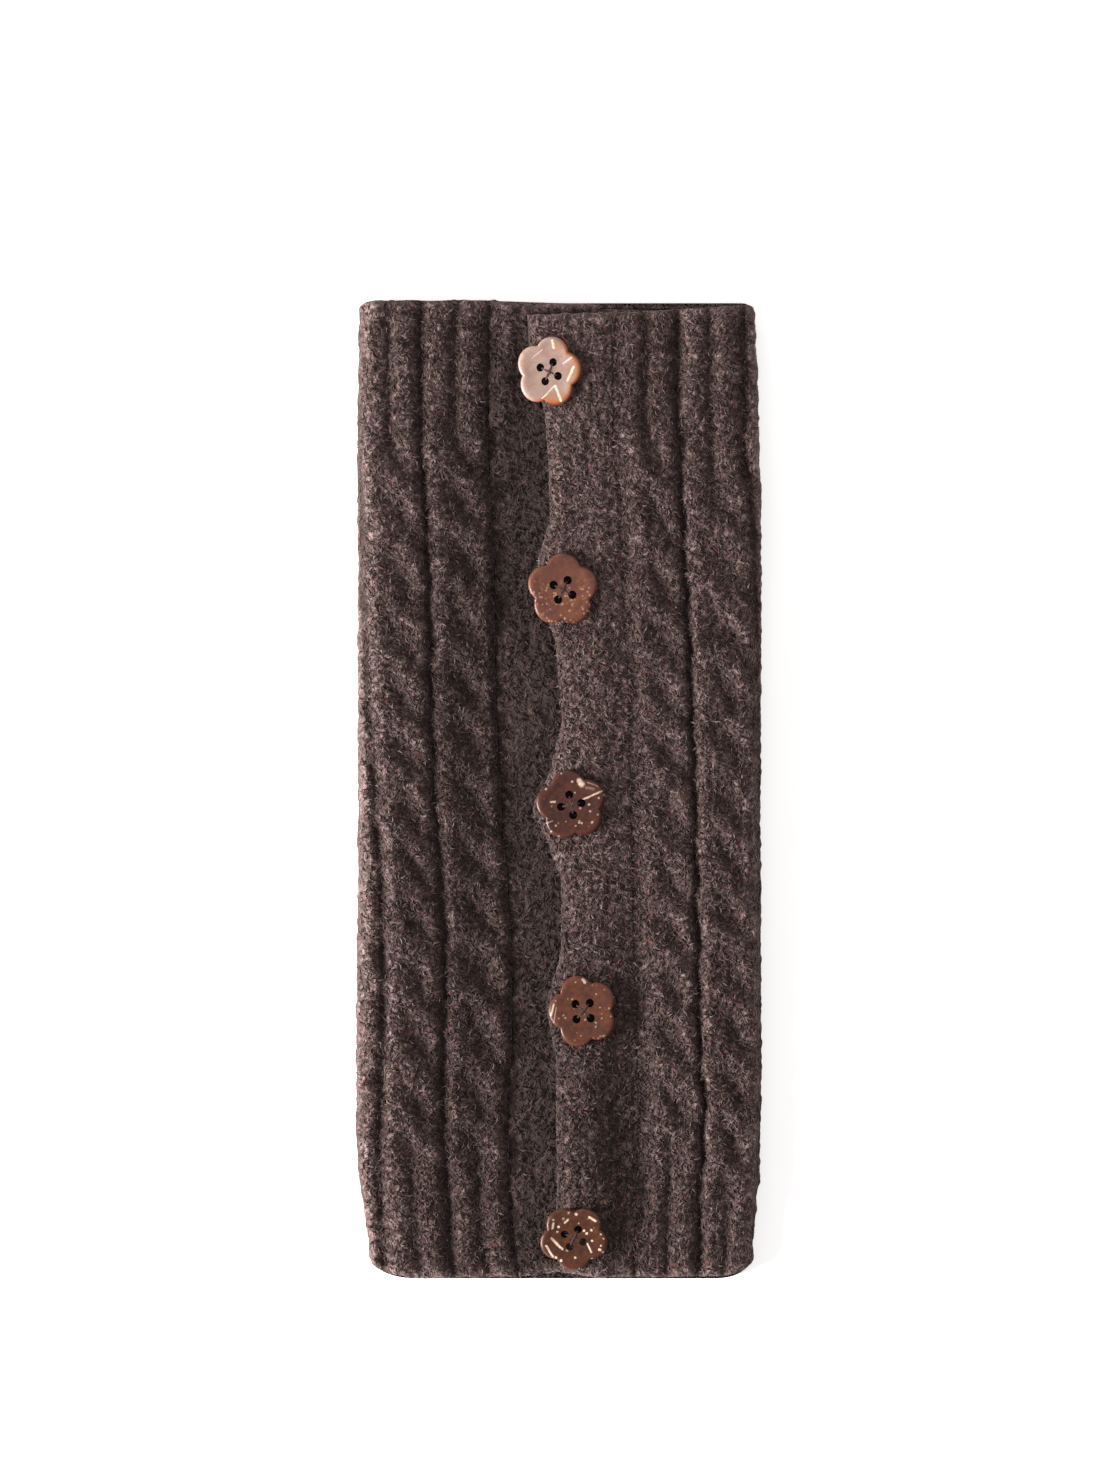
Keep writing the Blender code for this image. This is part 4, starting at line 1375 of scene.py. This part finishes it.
@dataclass
class FlowerButton:
    """A five-petal button with a raised rim, four sewing holes and a crossed thread."""

    number: int
    x: float
    y: float
    petal_angle: float
    hole_angle: float
    shell: PolishedShell
    tilt: float = 0.0
    width: float = 1.0
    height: float = 1.0
    radius: float = 11.6
    thickness: float = 2.0
    petals: int = 5
    steps: int = 90
    hole_radius: float = 1.35
    hole_spread: float = 3.4
    rim_shade_angle: float = -25.0
    rim_shade_start: float = 0.80
    rim_shade_width: float = 0.2
    dip_power: float = 1.6
    sharp_angle: float = 38.0
    pin_length: float = 9.0
    thread_radius: float = 0.34
    thread_inset: float = 0.75
    thread_arches: tuple[float, float] = (0.26, 0.21)
    thread_level: float = 0.62
    shadow_plug_depth: float = 0.3
    shadow_plug_level: float = 0.2
    seat: float = 9.2

    def outline(self, angle: float) -> float:
        """The share of the radius that the flower's round petals reach at an angle."""
        spread = SWEEP / self.petals
        return math.cos(angle - spread * round(angle / spread))

    def reach(self, x: float, y: float) -> float:
        """How far the flower reaches from its middle in the direction of a point."""
        return self.radius * self.outline(math.atan2(y, x))

    def disc(self) -> bpy.types.Mesh:
        """The flower before its holes are drilled, turned from its profile and drawn in to petals."""
        bm = bmesh.new()
        verts = [bm.verts.new((out * self.radius, 0.0, up * self.thickness)) for out, up in BUTTON_PROFILE]
        edges = [bm.edges.new(pair) for pair in zip(verts, verts[1:])]
        bmesh.ops.spin(bm, geom=verts + edges, axis=(0, 0, 1), angle=SWEEP, steps=self.steps, use_merge=True)
        bmesh.ops.remove_doubles(bm, verts=bm.verts, dist=1e-4)
        for vert in bm.verts:
            r = math.hypot(vert.co.x, vert.co.y)
            angle = math.atan2(vert.co.y, vert.co.x)
            share = 1.0 - (1.0 - self.outline(angle)) * (r / self.radius) ** self.dip_power
            vert.co.x *= share
            vert.co.y *= share
        bmesh.ops.recalc_face_normals(bm, faces=bm.faces)
        return as_mesh(bm, f"flower_{self.number}")

    def hole_angles(self) -> list[float]:
        """The directions of the four holes from the button's middle, before it is turned."""
        first = math.radians(45.0 + self.hole_angle - self.petal_angle)
        return [first + 0.5 * math.pi * i for i in range(4)]

    def hole_spots(self) -> list[tuple[float, float]]:
        """The middles of the four holes."""
        spread = self.hole_spread
        return [(spread * math.cos(angle), spread * math.sin(angle)) for angle in self.hole_angles()]

    def add_pins(self, bm: bmesh.types.BMesh, segments: int, depth: float, level: float) -> None:
        """Adds a round pin at each of the four holes.

        Args:
            bm: where to add them.
            segments: how many sides each has.
            depth: its length, in millimetres.
            level: the height of its middle.
        """
        size = {"radius1": self.hole_radius, "radius2": self.hole_radius, "depth": depth}
        for spot in self.hole_spots():
            pin = bmesh.ops.create_cone(bm, cap_ends=True, segments=segments, **size)
            bmesh.ops.translate(bm, verts=pin["verts"], vec=(*spot, level))

    def drilled(self) -> bpy.types.Mesh:
        """The flower with its four holes."""
        drill = bmesh.new()
        self.add_pins(drill, segments=20, depth=self.pin_length, level=0.0)
        body = linked("blank", self.disc())
        cutter = linked("drill", as_mesh(drill, f"drill_{self.number}"))
        cut = body.modifiers.new("holes", "BOOLEAN")
        cut.operation, cut.solver, cut.object = "DIFFERENCE", "EXACT", cutter
        graph = bpy.context.evaluated_depsgraph_get()
        mesh = bpy.data.meshes.new_from_object(body.evaluated_get(graph))
        for obj in (body, cutter):
            bpy.data.objects.remove(obj, do_unlink=True)
        return mesh

    def placed(self) -> Matrix:
        """Where the button lies, turned and tilted, in metres."""
        turn = Matrix.Rotation(math.radians(self.petal_angle), 4, "Z")
        shape = Matrix.Diagonal((self.width, self.height, 1.0, 1.0))
        tilt = Matrix.Rotation(math.radians(self.tilt), 4, "X")
        move = Matrix.Translation(Vector((self.x, self.y, self.seat)))
        return Matrix.Scale(MM, 4) @ move @ tilt @ shape @ turn

    def thread(self, finish: bpy.types.Material) -> bpy.types.Object:
        """The crossed sewing thread: two arcs from hole to hole, with near-black plugs down in the holes as
        painted shadow.
        """
        bm = bmesh.new()
        for angle, arch in zip(self.hole_angles(), self.thread_arches):
            made = bmesh.ops.create_circle(bm, cap_ends=True, segments=8, radius=self.thread_radius)
            bmesh.ops.translate(bm, verts=made["verts"], vec=(self.hole_spread - self.thread_inset, 0.0, 0.0))
            faces = list({face for vert in made["verts"] for face in vert.link_faces})
            edges = list({edge for face in faces for edge in face.edges})
            bmesh.ops.spin(bm, geom=made["verts"] + edges + faces, axis=(0, -1, 0), angle=math.pi, steps=14)
            arc = [vert for vert in bm.verts if not vert.tag]
            for vert in arc:
                vert.co.z *= arch
                vert.tag = True
            bmesh.ops.rotate(bm, verts=arc, matrix=Matrix.Rotation(angle, 3, "Z"))
        bmesh.ops.translate(bm, verts=bm.verts, vec=(0.0, 0.0, self.thread_level * self.thickness))
        strand_points = len(bm.verts)
        self.add_pins(bm, segments=12, depth=self.shadow_plug_depth, level=self.shadow_plug_level)
        bmesh.ops.recalc_face_normals(bm, faces=bm.faces)
        mesh = as_mesh(bm, f"thread_{self.number}")
        # Painted shadow: marks the plugs in the holes, which take the thread's near-black shadow colour
        store(mesh, "deep", np.arange(len(mesh.vertices)) >= strand_points)
        mesh.transform(self.placed())
        mesh.shade_smooth()
        return add_piece(f"button_thread_{self.number}", mesh, finish)

    def build(self) -> bpy.types.Object:
        """Makes the button in its place, with a darker rim painted as shade on the side that faces the rim's
        angle, away from the key light.
        """
        mesh = self.drilled()
        spots = np.array([vert.co[:2] for vert in mesh.vertices])
        out = np.hypot(*spots.T) / np.array([self.reach(*spot) for spot in spots])
        # Painted shade: the rim's mask reaches only round the side turned from the key light
        facing = np.arctan2(spots[:, 1], spots[:, 0]) + math.radians(self.petal_angle - self.rim_shade_angle)
        shaded_side = smooth(0.35 + 1.1 * np.cos(facing))
        store(mesh, "rim", smooth((out - self.rim_shade_start) / self.rim_shade_width) * shaded_side)
        mesh.transform(self.placed())
        mesh.shade_smooth()
        mesh.set_sharp_from_angle(angle=math.radians(self.sharp_angle))
        piece = add_piece(f"flower_{self.number}", mesh, self.shell.material(self.x, self.y))
        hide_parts(f"flower_button_{self.number}")
        return piece


class Lamp(NamedTuple):
    """A soft square light over the table, in metres and watts, aimed at the garment."""

    name: str
    x: float
    y: float
    z: float
    size: float
    power: float
    colour: Colour


LAMPS = (
    Lamp("key", -1.24, -0.38, 0.52, 0.4, 50.0, (1.0, 0.985, 0.98)),
    Lamp("side", -1.5, 0.1, 0.16, 0.3, 14.0, (1.0, 0.96, 0.95)),
    Lamp("fill", 1.0, 0.8, 1.4, 1.4, 8.5, (1.0, 0.97, 0.96)),
    Lamp("top", -0.35, 1.5, 0.5, 0.5, 5.0, (1.0, 0.97, 0.96)),
)


@dataclass
class Studio:
    """The plain floor, the soft light and the camera straight above."""

    photo_width: int = 1100
    photo_height: int = 1467
    pixel: float = 320.0 / 979.5
    middle_x: float = 558.6
    middle_y: float = 789.6
    height: float = 5.0
    garment_top: float = 0.006
    floor_size: float = 6.0
    sky_colour: Colour = (1.0, 0.965, 0.95)
    sky_strength: float = 0.30

    def camera(self) -> None:
        """A long lens straight above, framed as in the photo."""
        data = bpy.data.cameras.new("camera")
        view_height = self.photo_height * self.pixel * MM
        data.lens = data.sensor_width * (self.height - self.garment_top) / view_height
        camera = linked("camera", data)
        across_by = (0.5 * self.photo_width - self.middle_x) * self.pixel * MM
        along_by = (self.middle_y - 0.5 * self.photo_height) * self.pixel * MM
        camera.location = (across_by, along_by, self.height)
        bpy.context.scene.camera = camera

    def light(self, lamp: Lamp) -> None:
        """An area light aimed at the garment."""
        data = bpy.data.lights.new(lamp.name, "AREA")
        data.size, data.energy, data.color = lamp.size, lamp.power, lamp.colour
        light = linked(lamp.name, data)
        light.location = (lamp.x, lamp.y, lamp.z)
        light.rotation_euler = (-Vector(light.location)).to_track_quat("-Z", "Y").to_euler()

    def floor(self) -> None:
        """The table that the garment lies on."""
        bm = bmesh.new()
        bmesh.ops.create_grid(bm, x_segments=1, y_segments=1, size=0.5 * self.floor_size)
        floor = linked("floor", as_mesh(bm, "floor"))
        floor.data.materials.append(PaleFloor().material())

    def build(self) -> None:
        """Sets up the floor, lights, surroundings and camera."""
        self.floor()
        for lamp in LAMPS:
            self.light(lamp)
        world = bpy.data.worlds.new("studio")
        world.use_nodes = True
        sky = world.node_tree.nodes["Background"]
        sky.inputs["Color"].default_value = (*self.sky_colour, 1.0)
        sky.inputs["Strength"].default_value = self.sky_strength
        scene = bpy.context.scene
        scene.world = world
        scene.view_settings.view_transform = "Standard"
        self.camera()


ROSE_VEINS = (
    Vein(8.0, 1.5, 5.9, -2.9, 0.5, 1.0),
    Vein(4.6, 2.7, 7.3, 4.6, 0.35, 0.9),
    Vein(1.8, -4.6, -2.2, -8.7, 0.30, 0.9),
    Vein(2.0, -4.6, 3.8, -9.4, 0.55, 1.0),
    Vein(1.0, 10.2, 1.5, 7.8, 0.55, 0.9),
    Vein(-5.5, 4.6, -2.2, 7.3, 0.25, 0.6),
)
ROSE_STAINS = (
    Vein(8.6, 3.2, 7.0, -2.2, 2.1, 0.8),
    Vein(0.6, -8.4, 4.2, -8.0, 2.0, 0.9),
    Vein(2.4, 9.6, 3.2, 7.8, 1.3, 0.7),
)
RED_BROWN_VEINS = (
    Vein(2.7, 7.9, 3.5, 6.7, 1.15, 1.0),
    Vein(10.1, 4.6, 3.2, 1.5, 0.36, 1.0),
    Vein(5.4, 7.4, 8.6, 6.0, 0.30, 0.40),
    Vein(5.0, 5.6, 7.4, 5.2, 0.60, 0.22),
    Vein(-6.6, 1.0, -5.3, 1.1, 0.45, 0.9),
    Vein(-9.0, -6.2, -6.0, -5.2, 0.25, 0.5),
)
BARK_VEINS = (
    Vein(0.6, 9.4, -0.1, 10.4, 0.60, 1.0),
    Vein(-9.6, 2.2, -10.4, -1.3, 0.40, 0.9),
    Vein(-8.8, 1.1, -9.6, -3.8, 0.25, 0.6),
    Vein(4.0, -3.8, 4.2, -3.9, 0.40, 0.8),
)
SPECKLED_VEINS = (
    Vein(-7.3, -0.3, -3.8, -3.8, 0.50, 1.0),
    Vein(-9.0, -2.7, -6.9, -6.2, 0.45, 1.0),
    Vein(-6.6, 4.6, -6.9, 3.2, 0.45, 1.0),
    Vein(-2.0, 5.8, -3.0, 4.8, 0.40, 0.9),
    Vein(0.7, 7.6, 0.9, 7.4, 0.60, 1.0),
    Vein(5.0, 6.7, 7.1, 5.4, 0.50, 1.0),
    Vein(5.6, 2.5, 5.8, 2.4, 0.50, 0.9),
    Vein(4.3, -2.0, 5.7, -4.8, 0.40, 1.0),
    Vein(0.4, -6.6, 0.5, -6.7, 0.50, 1.0),
    Vein(9.6, -0.3, 9.7, -0.4, 0.40, 0.8),
)
CREAM = (0.60, 0.44, 0.33)
SHELLS = (
    PolishedShell(
        "rose_shell",
        ground=(0.42, 0.285, 0.235),
        dark=(0.34, 0.215, 0.175),
        pale=(0.90, 0.74, 0.60),
        rim=(0.17, 0.048, 0.018),
        rim_shade_amount=0.95,
        fleck_spacing=3.0,
        fleck_size=0.4,
        fleck_amount=0.0,
        veins=ROSE_VEINS,
        stains=ROSE_STAINS,
    ),
    PolishedShell(
        "tan_shell",
        ground=(0.155, 0.057, 0.030),
        dark=(0.098, 0.036, 0.029),
        pale=(0.42, 0.21, 0.135),
        rim=(0.05, 0.014, 0.008),
        rim_shade_amount=0.6,
        fleck_spacing=1.2,
        fleck_size=0.52,
        fleck_amount=0.8,
        fleck_top=5.0,
    ),
    PolishedShell(
        "red_brown_shell",
        ground=(0.080, 0.026, 0.0165),
        dark=(0.040, 0.0145, 0.0125),
        pale=CREAM,
        rim=(0.05, 0.012, 0.008),
        rim_shade_amount=0.25,
        fleck_spacing=2.3,
        fleck_size=0.52,
        fleck_amount=0.6,
        veins=RED_BROWN_VEINS,
    ),
    PolishedShell(
        "bark_shell",
        ground=(0.120, 0.039, 0.0195),
        dark=(0.064, 0.024, 0.0185),
        pale=CREAM,
        rim=(0.06, 0.016, 0.008),
        rim_shade_amount=0.3,
        fleck_spacing=2.0,
        fleck_size=0.46,
        fleck_amount=0.45,
        veins=BARK_VEINS,
    ),
    PolishedShell(
        "speckled_shell",
        ground=(0.092, 0.030, 0.0135),
        dark=(0.046, 0.0165, 0.0105),
        pale=(0.70, 0.54, 0.42),
        rim=(0.05, 0.014, 0.006),
        rim_shade_amount=0.3,
        fleck_spacing=2.0,
        fleck_size=0.60,
        fleck_amount=1.0,
        veins=SPECKLED_VEINS,
    ),
)
BROWN_THREAD = (0.045, 0.020, 0.020)
BUTTONS = (
    FlowerButton(1, -3.1, 136.4, 80.0, 21.0, SHELLS[0], width=0.93),
    FlowerButton(2, 1.4, 65.2, 89.0, 18.0, SHELLS[1], width=1.01, height=1.04),
    FlowerButton(3, 4.1, -5.0, 100.0, -34.0, SHELLS[2], height=0.99),
    FlowerButton(4, 8.0, -72.3, 108.0, 4.0, SHELLS[3], width=0.98, height=1.03),
    FlowerButton(5, 5.0, -146.2, 126.0, 21.0, SHELLS[4], width=0.98, height=0.92, tilt=6.0),
)


def main() -> None:
    """Builds the leg warmer's pieces in order, then its surroundings."""
    logging.basicConfig(level=logging.INFO, format="%(name)s %(message)s")
    form = KnitForm()
    wool, fibre = HeatheredWool().material(), WoolFibre().material()
    panel, panel_cloth = CablePanel(form, wool).build()
    under, under_cloth = Band(form, wool).build()
    upper = Band(form, wool, name="buttonhole_band_knit", node="buttonhole_band", over=True)
    over, over_cloth = upper.build()
    panel_fuzz = [
        Fuzz(f"panel_fuzz_{number}", count=17000, seed=20 + number).build(panel_cloth, fibre)
        for number in (1, 2)
    ]
    under_fuzz = Fuzz("button_band_fuzz", count=5500, seed=22).build(under_cloth, fibre)
    over_fuzz = Fuzz("buttonhole_band_fuzz", count=9000, seed=23).build(over_cloth, fibre)
    mauve = SewingThread().material()
    brown = SewingThread("brown_thread", BROWN_THREAD).material()
    for button in BUTTONS:
        button.build()
        button.thread(mauve if button.shell is SHELLS[0] else brown)
    Studio().build()


if __name__ == "__main__":
    main()
